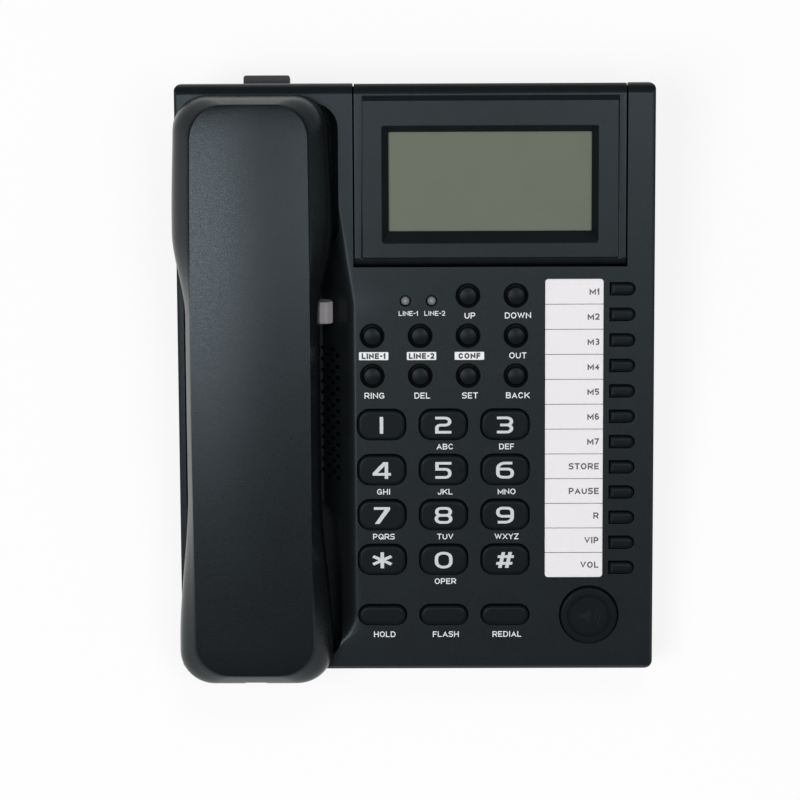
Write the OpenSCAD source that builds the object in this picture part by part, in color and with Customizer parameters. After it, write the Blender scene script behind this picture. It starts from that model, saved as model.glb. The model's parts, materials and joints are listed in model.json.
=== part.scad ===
// Desk telephone with a tilting display, a key field and a lift-off handset.
// X runs to the right, Y to the back and Z up. The origin is on the desk under the middle of the case.
// Most pieces are placed in the face's own frame: x across, v up the slope from the front edge,
// and w square to the face, with w = 0 on its surface.

/* [Case] */
// Width of the case from left to right
body_w = 171.7; // [168:0.1:190]
// Depth of the case from front to back, measured on the desk
body_d = 211.1; // [203:0.1:230]
// Height of the face's front edge above the desk
front_h = 28; // [27:0.5:36]
// Slope of the face, rising to the back, in degrees
face_tilt = 10; // [8:0.5:12]
// Wall thickness of both covers
wall = 2.4; // [2:0.1:2.8]
// Corner radius of the case seen from above
corner_r = 3; // [2:0.5:5]
// Width of the bevel along the face's edges
edge_bevel = 1; // [0.5:0.1:1.6]
// Radius of the roll along the face's rear edge
rear_roll = 4.4; // [3:0.1:4.8]
// Height above the desk where the two covers part
split_z = 16; // [15.6:0.1:18]

/* [Handset and cradle] */
// Distance from the case's left side to the handset's middle
handset_inset = 27.45; // [27.2:0.05:28.5]
// Length of handset that stands out past the face's front edge
handset_front = 3.7; // [0:0.1:6]
// Distance from the handset's rear end to the face's rear edge
handset_rear = 4.5; // [4:0.1:12]
// Half width of the handset at the ear end
ear_hw = 28.6; // [26:0.1:29]
// Half width of the handset at the mouth end
mouth_hw = 27.9; // [26:0.1:28.6]
// Half width of the grip
waist_hw = 24; // [22:0.1:25]
// How much each side draws in from the ear to the handset's rear end
ear_taper = 1; // [0:0.1:2]
// Half width of the flat along the handset's back
back_hw = 20.5; // [17:0.1:21.5]
// How much each side of that flat widens towards the middle
back_swell = 0.7; // [0:0.1:1]
// Height of the handset's back above its parting line, at the middle
back_h = 21; // [18:0.5:24]
// Drop of the handset's back towards both ends
back_arch = 6; // [3:0.5:6]
// Height of the handset's parting line above the face
parting_w = 3; // [2.6:0.1:5]
// Depth of the grip below the parting line
grip_d = 6.5; // [5.5:0.1:8]
// How far the handset's lip stands out past its cups at the sides
lip = 4.8; // [4.4:0.1:5.5]
// Wall thickness of the handset's shells
shell_t = 2; // [1.5:0.1:2.4]
// Width of both wells from the case's left wall
well_w = 56; // [54:0.1:57]
// Depth of both wells below the face
well_d = 20; // [17:0.5:20.5]
// Length of the ear well along the face
ear_well = 53.2; // [50:0.2:56]
// Length of the mouth well along the face
mouth_well = 56.8; // [53:0.2:60]
// Corner radius of the wells
well_r = 9; // [7:0.5:9.2]
// Depth of the hand hollow between the wells
saddle_d = 13; // [11:0.5:15]
// Steepness of the slope from the face down into the hand hollow, in degrees
slope_a = 50.5; // [46:0.5:56]
// Radius of the roll from the face into that slope
slope_roll = 5; // [3:0.5:6]
// Width of the hook bar along the face
hook_w = 8; // [6:0.2:10]
// Rise of the hook bar when the handset is lifted
hook_rise = 5; // [3:0.2:6]

/* [Display] */
// Distance from the case's right side to the display panel
display_right = 10.35; // [8.5:0.05:12]
// Thickness of the display panel
display_t = 14; // [13:0.2:16]
// Radius of the display's hinge pins
pin_r = 1.5; // [1:0.1:2]
// Width of the frame round the display's sunk plate
display_rim = 2.7; // [2:0.1:3.4]
// Width of the plate at the left and right of the window
window_side = 10; // [8:0.1:14]
// Width of the plate in front of the window
window_front = 8.1; // [6:0.1:10]
// Width of the plate behind the window
window_rear = 16; // [14:0.1:18]
// Width of the window's sloping sides
window_bevel = 2.4; // [1:0.1:3]
// Width of the window's sloping front side
window_front_bevel = 4.1; // [1:0.1:5]

/* [Keys] */
// Width of a number key
digit_w = 17; // [15:0.1:17.6]
// Length of a number key along the face
digit_l = 10.7; // [9:0.1:11.4]
// Corner radius of a number key
digit_r = 4.2; // [2:0.1:4.4]
// Spacing of the number keys across the face
digit_px = 22.3; // [21.6:0.1:23.2]
// Spacing of the number keys along the face
digit_pv = 16.6; // [15:0.1:17.4]
// Distance from the face's front edge to the function keys' middle
func_v = 20.3; // [18:0.1:22]
// Length of a function key along the face
func_l = 7; // [6:0.1:8]
// Radius of a round key
round_r = 3.1; // [2.4:0.1:3.4]
// Spacing of the round keys across the face
round_px = 17.25; // [15:0.05:17.6]
// Spacing of the round keys along the face
round_pv = 14.55; // [12:0.05:15]
// Width of a memory key
mem_w = 8.4; // [7:0.1:9]
// Length of a memory key along the face
mem_l = 4; // [3:0.1:4.6]
// Radius of the speaker key
speaker_key_r = 10.4; // [8:0.1:11]
// Height of the number keys above the face
key_proud = 1.8; // [1.2:0.1:2.4]
// Height of the small keys above the face
small_proud = 1.4; // [1:0.1:2]
// Travel of every key
key_travel = 1.2; // [0.8:0.1:1.4]
// Radius of a line lamp
lamp_r = 1.6; // [1.2:0.1:1.8]

/* [Inside] */
// Thickness of the main board
board_t = 1.6; // [1.2:0.1:2]
// Thickness of the rubber keypad mat
mat_t = 1.2; // [0.8:0.1:1.6]
// Radius of the loudspeaker
speaker_r = 23; // [19:0.5:23.5]
// Depth of the loudspeaker
speaker_t = 16; // [14:0.5:18]
// Radius of the receiver capsule in the ear cup
receiver_r = 16.5; // [14:0.5:17]
// Radius of the microphone in the mouth cup
mic_r = 5; // [3:0.5:7]
// Shaft radius of a case screw
screw_r = 1.4; // [1.2:0.1:1.6]
// Radius of a rubber foot
foot_r = 6; // [5:0.5:8]
// Height of the rubber feet below the bottom cover
foot_h = 1.5; // [1:0.1:2]
// Spacing of the two wall keyholes
keyhole_gap = 82.5; // [70:0.5:100]
// Radius of a keyhole's wide end
keyhole_r = 4.5; // [4:0.1:5.5]

/* [Fits] */
// Gap round every key in its hole
key_gap = 0.5; // [0.3:0.05:0.55]
// Gap between a resting part and its seat
rest_gap = 0.3; // [0.2:0.05:0.4]
// Gap between the display panel and its pocket
display_gap = 0.5; // [0.3:0.05:0.8]
// Gap round a pin, a screw or a post in its hole
pin_gap = 0.1; // [0.05:0.05:0.2]

/* [Hidden] */
$fn = 48;
face_len = body_d / cos(face_tilt);
half_w = body_w / 2;
half_d = body_d / 2;
tall = body_d;
eps = 1;
least_r = 0.6;
floor_z = foot_h + wall;

// Angle at which a roll leaves the flat that it runs on from
roll_start = 8;

// Cradle, from the case's left side to the right
handset_x = -half_w + handset_inset;
well_x0 = -half_w + wall;
well_x1 = well_x0 + well_w;
well_to_slope = 5.85;
slope_x = well_x1 + well_to_slope;
cup_gap = 0.8;
cup_rear_in = 3.8;

// Slope into the hand hollow: the middle of its roll, and its line down to the foot
roll_x = slope_x + slope_roll * sin(roll_start);
roll_w = -slope_roll * cos(roll_start);
slope_top_x = roll_x + roll_w * sin(slope_a);
slope_top_w = roll_w - roll_w * cos(slope_a);
foot_x = slope_top_x - (slope_top_w + saddle_d) / tan(slope_a);
slope_in_x = well_x1 - well_r;
slope_skin = 0.8;
slope_bend = 8.8;
slope_turn = 70;
turn_over = 16;
turn_out = 0.06;

// Handset ends and the wells that take its cups
hs_v0 = -handset_front;
hs_v1 = face_len - handset_rear;
hs_mid = (hs_v0 + hs_v1) / 2;
cup_v0 = wall + 2 * cup_gap;
cup_v1 = hs_v1 - cup_rear_in;
ear_v1 = cup_v1 + cup_gap;
ear_v0 = ear_v1 - ear_well;
mouth_v0 = cup_v0 - cup_gap;
mouth_v1 = mouth_v0 + mouth_well;
slope_front = 0.7;
slope_rear = 18.7;
slope_v0 = func_v + slope_front;
slope_v1 = ear_v0 - slope_rear;
cup_d = parting_w + well_d - rest_gap;
outline_r = 12;
cup_corner = 8.5;
cup_r = min(cup_corner, well_r - rest_gap);
neck_len = 13;
ear_neck_in = 2.6;
mouth_neck_in = 3;
ear_neck = ear_v0 - ear_neck_in;
mouth_neck = mouth_v1 + mouth_neck_in;
ear_mid = (ear_neck + neck_len + cup_v1) / 2;
mouth_mid = (cup_v0 + mouth_neck - neck_len) / 2;

// Handset outline: where each end starts to widen and over what length
ear_start = 78;
ear_run = 30;
mouth_start = 72.7;
mouth_run = 58;
taper_run = 45;
back_front_in = 5.4;
back_rear_in = 2.1;

// Lip round the cups, and the cups' draft and bottom edge
lip_in = 0.6;
lip_t = 1;
lip_foot = 2.6;
cup_draft = 0.3;
cup_edge = 2;

// Holes and capsules in the handset
sound_r = 1.2;
sound_ring = 6;
receiver_t = 8;
magnet_t = 3;
mic_t = 6;
jack_in = 2.6;
jack_up = 0.3;

// Hook bar
hook_shift = 24;
hook_v = (mouth_v1 + ear_v0) / 2 + hook_shift;
hook_top = parting_w - grip_d - rest_gap;
hook_x0 = handset_x + 8;
hook_x1 = foot_x + 4;
hook_flange_w = -saddle_d - wall - hook_rise - rest_gap;
hook_flange_t = 2;
hook_flange = 2;
hook_edge = 2;
hook_arm = 3;

// Key field, each row placed from the one in front of it
digit_side = 9.1;
func_to_digit = 20.6;
round_side = 3.2;
digit_to_round = 17.8;
round_to_display = 10.8;
mem_side = 11.55;
mem_front = 3.2;
mem_rear = 8.5;
digit_x = slope_x + digit_side;
digit_v = func_v + func_to_digit;
round_x = digit_x - round_side;
round_v = digit_v + 3 * digit_pv + digit_to_round;
disp_v0 = round_v + 2 * round_pv + round_to_display;
mem_x = half_w - mem_side;
mem_v = digit_v - mem_front;
mem_pv = (disp_v0 - mem_rear - mem_v) / 11;
speaker_shift = 0.6;
speaker_x = (digit_x + 2 * digit_px + digit_w / 2 + half_w - wall) / 2 + speaker_shift;
speaker_front = 0.2;
speaker_v = func_v - speaker_front;
lamp_side = 12;
lamp_x = round_x + lamp_side;
lamp_px = 9.45;
lamp_front = 1.9;
lamp_v = round_v + 2 * round_pv - lamp_front;
flange = 0.8;
flange_t = 1;
flange_w = -wall - rest_gap;
cap_step = 0.5;
ring_w = 1.4;
ring_r = round_r + ring_w;
ring_d = 1.3;
dome_bulge = 2.2;
func_flat = 0.05;
speaker_dome = 6;
digit_dome = 4;
func_dome = 3;
small_dome = 1.9;

// Board and mat, stacked under the key flanges
dome_over = 1;
dome_h = key_travel + dome_over;
dome_w = flange_w - flange_t - rest_gap / 2;
mat_w = dome_w - dome_h;
board_w = mat_w - mat_t;
board_side = 0.9;
board_gap = 1;
board_rear = 5;
board_x0 = slope_x - board_side;
board_x1 = half_w - wall - board_gap;
board_v0 = 11;
board_v1 = disp_v0 - board_rear;
post_r = 2.5;
stake_r = 1;

// Parts on the board: chips, upright capacitors and the hook switch
chip = [15, 15, 2];
chip_x = [6, 34];
chip_v = 12;
capacitor_r = 4;
capacitor_h = 9;
capacitor_x = 2;
capacitor_v = 20;
capacitor_pv = 14;
switch_half = 3;
switch_gap = 0.6;

// Label card between the number keys and the memory keys
card_left = 6;
card_right = 6.8;
card_front = 3.7;
card_rear = 3.5;
card_x0 = digit_x + 2 * digit_px + digit_w / 2 + card_left;
card_x1 = mem_x - card_right;
card_v0 = mem_v - card_front;
card_v1 = mem_v + 11 * mem_pv + card_rear;
card_t = 0.3;
card_cover_t = 0.5;
card_r = 1.2;
card_gap = 0.2;
post_front = 1;
post_rear = 1.5;
posts = [
    [digit_x + digit_px / 2, (func_v + digit_v) / 2 - post_front],
    [round_x + post_rear, lamp_v + post_rear],
    [(card_x0 + card_x1) / 2, digit_v],
    [(card_x0 + card_x1) / 2, lamp_v]
];

// Display panel, hinged along its front edge
display_left = 0.2;
disp_x0 = slope_x - display_left;
disp_x1 = half_w - display_right;
disp_w = disp_x1 - disp_x0;
hinge_r = 3;
hinge_v = disp_v0 + hinge_r;
pocket_wall = 3.6;
pin_len = 2.6;
pocket_under = 0.8;
pocket_d = display_t + pocket_under;
panel_wall = 2;
plate_sink = 0.8;
plate_slope = 2;
plate_t = 3.2;
frame_d = 9;
pane_t = 1.2;
lcd_t = 2.8;
rear_gap = 0.3;
plate_v0 = disp_v0 + display_rim;
plate_rear = 4.9;
plate_v1 = face_len - plate_rear;
win_x0 = disp_x0 + window_side;
win_x1 = disp_x1 - window_side;
win_v0 = disp_v0 + window_front;
win_v1 = face_len - window_rear;
pane_over = 3;
pane_w = -plate_sink - plate_t;
rib_in = 6;
rib_t = 4;
rib_end = 2;

// Loudspeaker and its grille
speaker_cx = (well_x0 + foot_x) / 2;
speaker_cv = (mouth_v1 + hook_v - hook_w / 2) / 2;
speaker_rim = 2;
speaker_magnet = 0.4;
grille_r = 0.75;
grille_px = 1.85;
grille_pv = 4.1;
grille_cols = 7;
grille_rows = 12;
grille_side = 6.8;
grille_x = slope_x - grille_side;

// Sockets: opening width, opening height, depth, wall round the opening
line_jack = [9.8, 6.8, 12, 1.6];
cord_jack = [7.7, 6.6, 11, 1.5];
line_jack_x = [18, 44];
cord_jack_in = 18;
cord_jack_y = mouth_v1 * cos(face_tilt) - half_d + cord_jack_in;
jack_z = floor_z;

// Screws, feet, keyholes and the tab behind the rear wall
screw_len = 9;
head_r = 2.6;
head_h = 1.8;
boss_r = 3.4;
boss_up = 2;
boss_z = floor_z + boss_up;
boss_foot = 0.8;
boss_v = -half_d + wall + boss_r + rest_gap;
screw_left = 0.4;
screw_right = 7;
screw_rear = 16;
screw_spots = [
    [slope_x - screw_left, boss_v],
    [half_w - screw_right, boss_v],
    [-half_w + screw_rear, half_d - screw_rear],
    [half_w - screw_rear, half_d - screw_rear]
];
foot_in = 12;
foot_front = 24;
foot_rear = 36;
foot_spots = [for (x = [-1, 1], y = [-half_d + foot_front, half_d - foot_rear]) [x * (half_w - foot_in), y]];
foot_sink = 0.5;
keyhole_slot = 2.3;
keyhole_run = 5;
keyhole_in = 60;
keyhole_y = half_d - keyhole_in;
tab_w = 16.8;
tab_out = 4.5;
tab_t = 3.6;
tab_r = 1;
tab_side = 4.8;
tab_x = handset_x + tab_side;
tab_z = 46;

charcoal = "#2b2b2e";
grey = "#8c888c";
key_black = "#222225";

// Every key as its name, kind and place on the face
function digit_at(col, row) = [digit_x + col * digit_px, digit_v + row * digit_pv];
function round_at(col, row) = [round_x + col * round_px, round_v + row * round_pv];
function mem_at(i) = [mem_x, mem_v + (11 - i) * mem_pv];
digit_names = ["key_1", "key_2", "key_3", "key_4", "key_5", "key_6", "key_7", "key_8", "key_9",
    "key_star", "key_0", "key_hash"];
func_names = ["key_hold", "key_flash", "key_redial"];
round_names = [
    ["key_ring", 0, 0], ["key_delete", 1, 0], ["key_set", 2, 0], ["key_back", 3, 0],
    ["key_line_1", 0, 1], ["key_line_2", 1, 1], ["key_conference", 2, 1], ["key_out", 3, 1],
    ["key_up", 2, 2], ["key_down", 3, 2]
];
mem_names = ["memory_key_1", "memory_key_2", "memory_key_3", "memory_key_4", "memory_key_5",
    "memory_key_6", "memory_key_7", "store_key", "pause_key", "recall_key", "vip_key", "volume_key"];
KEYS = concat(
    [for (i = [0:11]) [digit_names[i], "digit", digit_at(i % 3, 3 - floor(i / 3))]],
    [for (i = [0:2]) [func_names[i], "func", [digit_x + i * digit_px, func_v]]],
    [for (k = round_names) [k[0], "round", round_at(k[1], k[2])]],
    [for (i = [0:11]) [mem_names[i], "memory", mem_at(i)]],
    [["speaker_key", "speaker", [speaker_x, speaker_v]]]
);

// Shared shapes

// Places children in the face's frame
module on_face(x = 0, v = 0, w = 0) {
    translate([0, -half_d, front_h])
        rotate([face_tilt, 0, 0])
            translate([x, v, w])
                children();
}

// Rectangle with round corners, centred
module round_rect(w, l, r) {
    square([w - 2 * r, l], center = true);
    square([w, l - 2 * r], center = true);
    for (x = [-1, 1], y = [-1, 1])
        translate([x * (w / 2 - r), y * (l / 2 - r)])
            circle(r);
}

// Block with round corners between two places on the face, from w0 up to w1
module face_block(x0, x1, v0, v1, w0, w1, r) {
    on_face((x0 + x1) / 2, (v0 + v1) / 2, w0)
        linear_extrude(w1 - w0)
            round_rect(x1 - x0, v1 - v0, r);
}

// Box between two places on the face
module face_box(x0, x1, v0, v1, w0, w1) {
    on_face(x0, v0, w0)
        cube([x1 - x0, v1 - v0, w1 - w0]);
}

// The case's full outline drawn in by inset, from z0 up to the face lowered by drop
module case_block(inset, z0, drop) {
    difference() {
        translate([0, 0, z0])
            linear_extrude(tall)
                round_rect(body_w - 2 * inset, body_d - 2 * inset, max(corner_r - inset, least_r));
        face_box(-body_w, body_w, -body_d, 2 * body_d, -drop, tall);
    }
}

// Cuts that take the sharp edge off the face: bevels at the sides and the front, a roll at the rear
module edge_bevels() {
    size = 4 * edge_bevel;
    low = -edge_bevel / sqrt(2);
    for (side = [-1, 1])
        on_face(side * half_w, -body_d, 0)
            rotate([0, side * 45, 0])
                translate([-size / 2, 0, low])
                    cube([size, 3 * body_d, size]);
    on_face(-body_w, 0, 0)
        rotate([45, 0, 0])
            translate([0, -size / 2, low])
                cube([2 * body_w, size, size]);
    in_w = -rear_roll * cos(roll_start);
    in_v = face_len + in_w * (1 + sin(face_tilt)) / cos(face_tilt);
    foot_w = in_w - rear_roll * sin(face_tilt);
    on_face(-body_w, 0, 0)
        rotate([90, 0, 90])
            linear_extrude(2 * body_w)
                difference() {
                    translate([in_v, foot_w])
                        square([4 * rear_roll, 3 * rear_roll]);
                    translate([in_v, in_w])
                        circle(rear_roll);
                }
}

// Outline of a key of the given kind, grown by g
module key_outline(kind, g) {
    if (kind == "digit") round_rect(digit_w + 2 * g, digit_l + 2 * g, digit_r + g);
    if (kind == "func") round_rect(digit_w + 2 * g, func_l + 2 * g, func_l / 2 + g - func_flat);
    if (kind == "round") circle(round_r + g);
    if (kind == "memory") {
        translate([-mem_w / 2 - g, -mem_l / 2 - g])
            square([mem_w - mem_l / 2 + g, mem_l + 2 * g]);
        translate([mem_w / 2 - mem_l / 2, 0])
            circle(mem_l / 2 + g);
    }
    if (kind == "speaker") circle(speaker_key_r + g);
}

function proud(kind) = (kind == "round" || kind == "memory") ? small_proud : key_proud;
function dome_r(kind) = kind == "speaker" ? speaker_dome
    : kind == "digit" ? digit_dome
    : kind == "func" ? func_dome : small_dome;

// Case

// Hand hollow seen along the face, from its left edge to the slope and the roll, grown by g for its skin
module slope_side(g, left) {
    rise = tall / 4;
    low = -saddle_d - g;
    out = g * slope_skin / sin(slope_a);
    if (g > 0) polygon([
        [slope_top_x + out + (rise - slope_top_w) / tan(slope_a), rise],
        [slope_top_x + out + (low - slope_top_w) / tan(slope_a), low],
        [left, low],
        [left, rise]
    ]);
    else difference() {
        polygon([
            [roll_x, rise],
            [roll_x, roll_w],
            [slope_top_x, slope_top_w],
            [foot_x, low],
            [left, low],
            [left, rise]
        ]);
        translate([roll_x, roll_w])
            circle(slope_roll);
    }
}

// Space that the handset's cups and the hand take out of the face, grown by g for its walls.
// The slope runs straight beside the keys, bends to the ear well behind and turns to the mouth well in front.
module cradle_space(g) {
    bend_len = (slope_x - well_x1) / tan(slope_bend) + 2 * wall;
    front = g > 0 ? slope_v0 - slope_x + slope_in_x : slope_v0;
    face_block(well_x0 - g, well_x1 + g, ear_v0 - g, ear_v1 + g, -well_d - g, tall, well_r + g);
    face_block(well_x0 - g, well_x1 + g, mouth_v0 - g, mouth_v1 + g, -well_d - g, tall, well_r + g);
    intersection() {
        on_face(0, slope_v1 + bend_len + g, 0)
            rotate([90, 0, 0])
                linear_extrude(slope_v1 + bend_len + g - front)
                    slope_side(g, well_x0 - g);
        on_face(slope_x, slope_v1, 0)
            rotate([0, 0, slope_bend])
                translate([-slope_x, bend_len + g, 0])
                    rotate([90, 0, 0])
                        linear_extrude(face_len)
                            slope_side(g, -body_w);
    }
    if (g == 0)
        on_face(slope_in_x, slope_v0, 0)
            rotate([0, 0, -slope_turn])
                rotate_extrude(angle = slope_turn + turn_over)
                    translate([turn_out - slope_in_x, 0])
                        slope_side(g, slope_in_x);
}

// Pocket that the display panel lies in, open at the rear, grown by side and down for its walls
module display_pocket(side, down) {
    face_box(disp_x0 - display_gap - side, disp_x1 + display_gap + side,
        disp_v0 - display_gap - side, face_len + body_d, -pocket_d - down, tall);
}

module key_holes() {
    for (k = KEYS)
        on_face(k[2][0], k[2][1], -wall - eps)
            linear_extrude(wall + 2 * eps)
                key_outline(k[1], key_gap);
    for (k = KEYS)
        if (k[1] == "round")
            on_face(k[2][0], k[2][1], -ring_d)
                cylinder(h = ring_d + eps, r = ring_r);
    for (i = [0, 1])
        on_face(lamp_x + i * lamp_px, lamp_v, -wall - eps)
            cylinder(h = wall + 2 * eps, r = lamp_r + key_gap);
}

module grille_holes() {
    for (c = [0:grille_cols - 1], r = [0:grille_rows - 1])
        on_face(grille_x - c * grille_px,
            speaker_cv + (r - grille_rows / 2 + 0.25 + (c % 2) / 2) * grille_pv, -saddle_d - 2 * wall)
            cylinder(h = saddle_d + 2 * wall, r = grille_r);
}

// Posts under the face that the main board is staked to
module board_posts() {
    for (p = posts) {
        on_face(p[0], p[1], board_w)
            cylinder(h = -board_w - wall / 2, r = post_r);
        on_face(p[0], p[1], board_w - board_t)
            cylinder(h = board_t + wall, r = stake_r);
    }
}

// Bosses that take the case screws, from the bottom cover up to the structure above
module screw_bosses() {
    intersection() {
        for (s = screw_spots)
            translate([s[0], s[1], boss_z])
                cylinder(h = tall, r = boss_r);
        case_block(wall / 2, foot_h, wall / 2);
    }
}

module top_cover() {
    color(charcoal)
        difference() {
            union() {
                difference() {
                    case_block(0, split_z, 0);
                    case_block(wall, split_z - eps, wall);
                }
                intersection() {
                    case_block(wall / 2, floor_z + rest_gap, wall / 2);
                    union() {
                        cradle_space(wall);
                        display_pocket(pocket_wall, wall);
                    }
                }
                screw_bosses();
                board_posts();
                translate([tab_x, half_d + tab_out / 2 - wall / 2, tab_z - tab_t])
                    linear_extrude(tab_t)
                        round_rect(tab_w, tab_out + wall, tab_r);
            }
            edge_bevels();
            cradle_space(0);
            display_pocket(0, 0);
            key_holes();
            grille_holes();
            face_box(hook_x0 - key_gap, hook_x1 + key_gap, hook_v - hook_w / 2 - key_gap,
                hook_v + hook_w / 2 + key_gap, -saddle_d - 2 * wall, 0);
            face_block(card_x0 - card_gap, card_x1 + card_gap, card_v0 - card_gap, card_v1 + card_gap,
                -card_t - card_cover_t, eps, card_r + card_gap);
            on_face(disp_x0 - display_gap - pin_len, hinge_v, -hinge_r)
                rotate([0, 90, 0])
                    cylinder(h = disp_w + 2 * (display_gap + pin_len), r = pin_r + pin_gap);
            for (s = screw_spots)
                translate([s[0], s[1], boss_z - eps])
                    cylinder(h = screw_len + eps, r = screw_r + pin_gap);
        }
}

// Keyhole for hanging the case on a wall: a wide end and a slot that runs to the rear
module keyhole() {
    cylinder(h = wall + 2 * eps, r = keyhole_r);
    translate([-keyhole_slot, 0, 0])
        cube([2 * keyhole_slot, keyhole_r + keyhole_run, wall + 2 * eps]);
}

// Outside size of a socket with the given opening
function jack_w(j) = j[0] + 2 * j[3];
function jack_h(j) = j[1] + 2 * j[3];

module bottom_cover() {
    color(charcoal)
        difference() {
            union() {
                difference() {
                    translate([0, 0, foot_h])
                        linear_extrude(split_z - foot_h)
                            round_rect(body_w, body_d, corner_r);
                    translate([0, 0, floor_z])
                        linear_extrude(split_z)
                            round_rect(body_w - 2 * wall, body_d - 2 * wall, max(corner_r - wall, least_r));
                }
                for (s = screw_spots)
                    translate([s[0], s[1], foot_h])
                        cylinder(h = boss_z - foot_h, r = boss_r + boss_foot);
            }
            intersection() {
                case_block(wall / 2 - pin_gap, floor_z, 0);
                cradle_space(wall + pin_gap);
            }
            for (s = screw_spots)
                translate([s[0], s[1], foot_h - eps]) {
                    cylinder(h = boss_z - foot_h + 2 * eps, r = screw_r + pin_gap);
                    cylinder(h = head_h + pin_gap + eps, r = head_r + pin_gap);
                }
            for (f = foot_spots)
                translate([f[0], f[1], foot_h - eps])
                    cylinder(h = foot_sink + eps, r = foot_r + pin_gap);
            for (i = [0, 1])
                translate([0, keyhole_y - i * keyhole_gap, foot_h - eps])
                    keyhole();
            for (x = line_jack_x)
                translate([x - jack_w(line_jack) / 2 - pin_gap, half_d - wall - eps, jack_z])
                    cube([jack_w(line_jack) + 2 * pin_gap, wall + 2 * eps, jack_h(line_jack) + pin_gap]);
            translate([-half_w - eps, cord_jack_y - jack_w(cord_jack) / 2 - pin_gap, jack_z])
                cube([wall + 2 * eps, jack_w(cord_jack) + 2 * pin_gap, jack_h(cord_jack) + pin_gap]);
        }
}

module rubber_feet() {
    color("#1a1a1a")
        for (f = foot_spots)
            translate([f[0], f[1], 0])
                cylinder(h = foot_h + foot_sink, r = foot_r);
}

module case_screws() {
    color("silver")
        for (s = screw_spots)
            translate([s[0], s[1], foot_h]) {
                cylinder(h = head_h, r = head_r);
                cylinder(h = boss_z - foot_h + screw_len - 1, r = screw_r);
            }
}

// Socket with its opening towards -Y and its lower front corner line on the origin
module jack(j) {
    difference() {
        translate([-jack_w(j) / 2, 0, 0])
            cube([jack_w(j), j[2] + j[3], jack_h(j)]);
        translate([-j[0] / 2, -eps, j[3]])
            cube([j[0], j[2] + eps, j[1]]);
        translate([-j[0] / 5, -eps, j[3] / 2])
            cube([j[0] * 2 / 5, j[2] / 2 + eps, j[1]]);
    }
}

module line_sockets() {
    color("#3a3a3d")
        for (x = line_jack_x)
            translate([x, half_d, jack_z])
                rotate([0, 0, 180])
                    jack(line_jack);
}

module cord_socket() {
    color("#3a3a3d")
        translate([-half_w, cord_jack_y, jack_z])
            rotate([0, 0, -90])
                jack(cord_jack);
}

// Inside

module main_board() {
    under = board_w - board_t;
    in_board = board_w - board_t / 2;
    switch_x = slope_x + hook_arm;
    switch_w = hook_flange_w + hook_rise + switch_gap;
    color("#2f6b3a")
        difference() {
            union() {
                face_box(board_x0, board_x1, board_v0, board_v1, under, board_w);
                face_box(switch_x - switch_half, switch_x + switch_half, hook_v - switch_half,
                    hook_v + switch_half, switch_w, in_board);
                for (x = chip_x)
                    face_box(digit_x + x, digit_x + x + chip[0], digit_v + chip_v,
                        digit_v + chip_v + chip[1], under - chip[2], in_board);
                for (i = [0:2])
                    on_face(speaker_x + capacitor_x, digit_v + capacitor_v + i * capacitor_pv,
                        under - capacitor_h)
                        cylinder(h = capacitor_h + board_t / 2, r = capacitor_r);
            }
            for (p = posts)
                on_face(p[0], p[1], under - eps)
                    cylinder(h = board_t + 2 * eps, r = stake_r + pin_gap);
        }
}

module keypad_mat() {
    color("#55555a")
        difference() {
            union() {
                face_box(board_x0, board_x1, board_v0, board_v1, board_w, mat_w);
                for (k = KEYS)
                    on_face(k[2][0], k[2][1], mat_w - mat_t / 2)
                        cylinder(h = dome_h + mat_t / 2, r = dome_r(k[1]));
            }
            for (p = posts)
                on_face(p[0], p[1], board_w - eps)
                    cylinder(h = mat_t + 2 * eps, r = post_r + pin_gap);
            for (i = [0, 1])
                on_face(lamp_x + i * lamp_px, lamp_v, board_w - eps)
                    cylinder(h = mat_t + 2 * eps, r = lamp_r + pin_gap);
        }
}

module line_lamps() {
    color("#9a9a9a")
        for (i = [0, 1])
            on_face(lamp_x + i * lamp_px, lamp_v, 0) {
                translate([0, 0, board_w])
                    cylinder(h = -board_w - lamp_r / 2, r = lamp_r);
                translate([0, 0, -lamp_r / 2])
                    sphere(lamp_r);
            }
}

module loudspeaker() {
    top = -saddle_d - wall;
    magnet = speaker_t * speaker_magnet;
    basket = speaker_t - speaker_rim - magnet;
    color("#3c3c3c")
        on_face(speaker_cx, speaker_cv, top) {
            translate([0, 0, -speaker_rim])
                cylinder(h = speaker_rim, r = speaker_r);
            translate([0, 0, -speaker_rim - basket])
                cylinder(h = basket, r1 = speaker_r / 2, r2 = speaker_r - speaker_rim / 2);
            translate([0, 0, -speaker_t])
                cylinder(h = magnet + speaker_rim / 4, r = (speaker_r + speaker_rim) / 2);
        }
}

module hook_lever() {
    color(grey)
        difference() {
            union() {
                face_box(hook_x0, hook_x1, hook_v - hook_w / 2, hook_v + hook_w / 2, hook_flange_w, hook_top);
                face_box(hook_x0 - hook_flange, slope_x + hook_arm, hook_v - hook_w / 2 - hook_flange,
                    hook_v + hook_w / 2 + hook_flange, hook_flange_w - hook_flange_t, hook_flange_w);
            }
            on_face(hook_x1 - hook_edge, hook_v, hook_top)
                rotate([0, 45, 0])
                    translate([0, -hook_w, 0])
                        cube([3 * hook_edge, 2 * hook_w, 3 * hook_edge]);
        }
}

// Label card

module label_card() {
    color("#d8dade")
        face_block(card_x0, card_x1, card_v0, card_v1, -card_t - card_cover_t, -card_cover_t, card_r);
}

module label_cover() {
    color([0.9, 0.92, 0.95, 0.4])
        face_block(card_x0, card_x1, card_v0, card_v1, -card_cover_t, 0, card_r);
}

// Display

// Panel outline seen from the side, rounded about the hinge, from w0 up to the face
module panel_side(w0) {
    translate([hinge_r, w0])
        square([face_len - disp_v0 + body_d, -w0]);
    translate([0, w0])
        square([face_len, -w0 - hinge_r]);
    translate([hinge_r, -hinge_r])
        circle(hinge_r);
}

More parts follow.
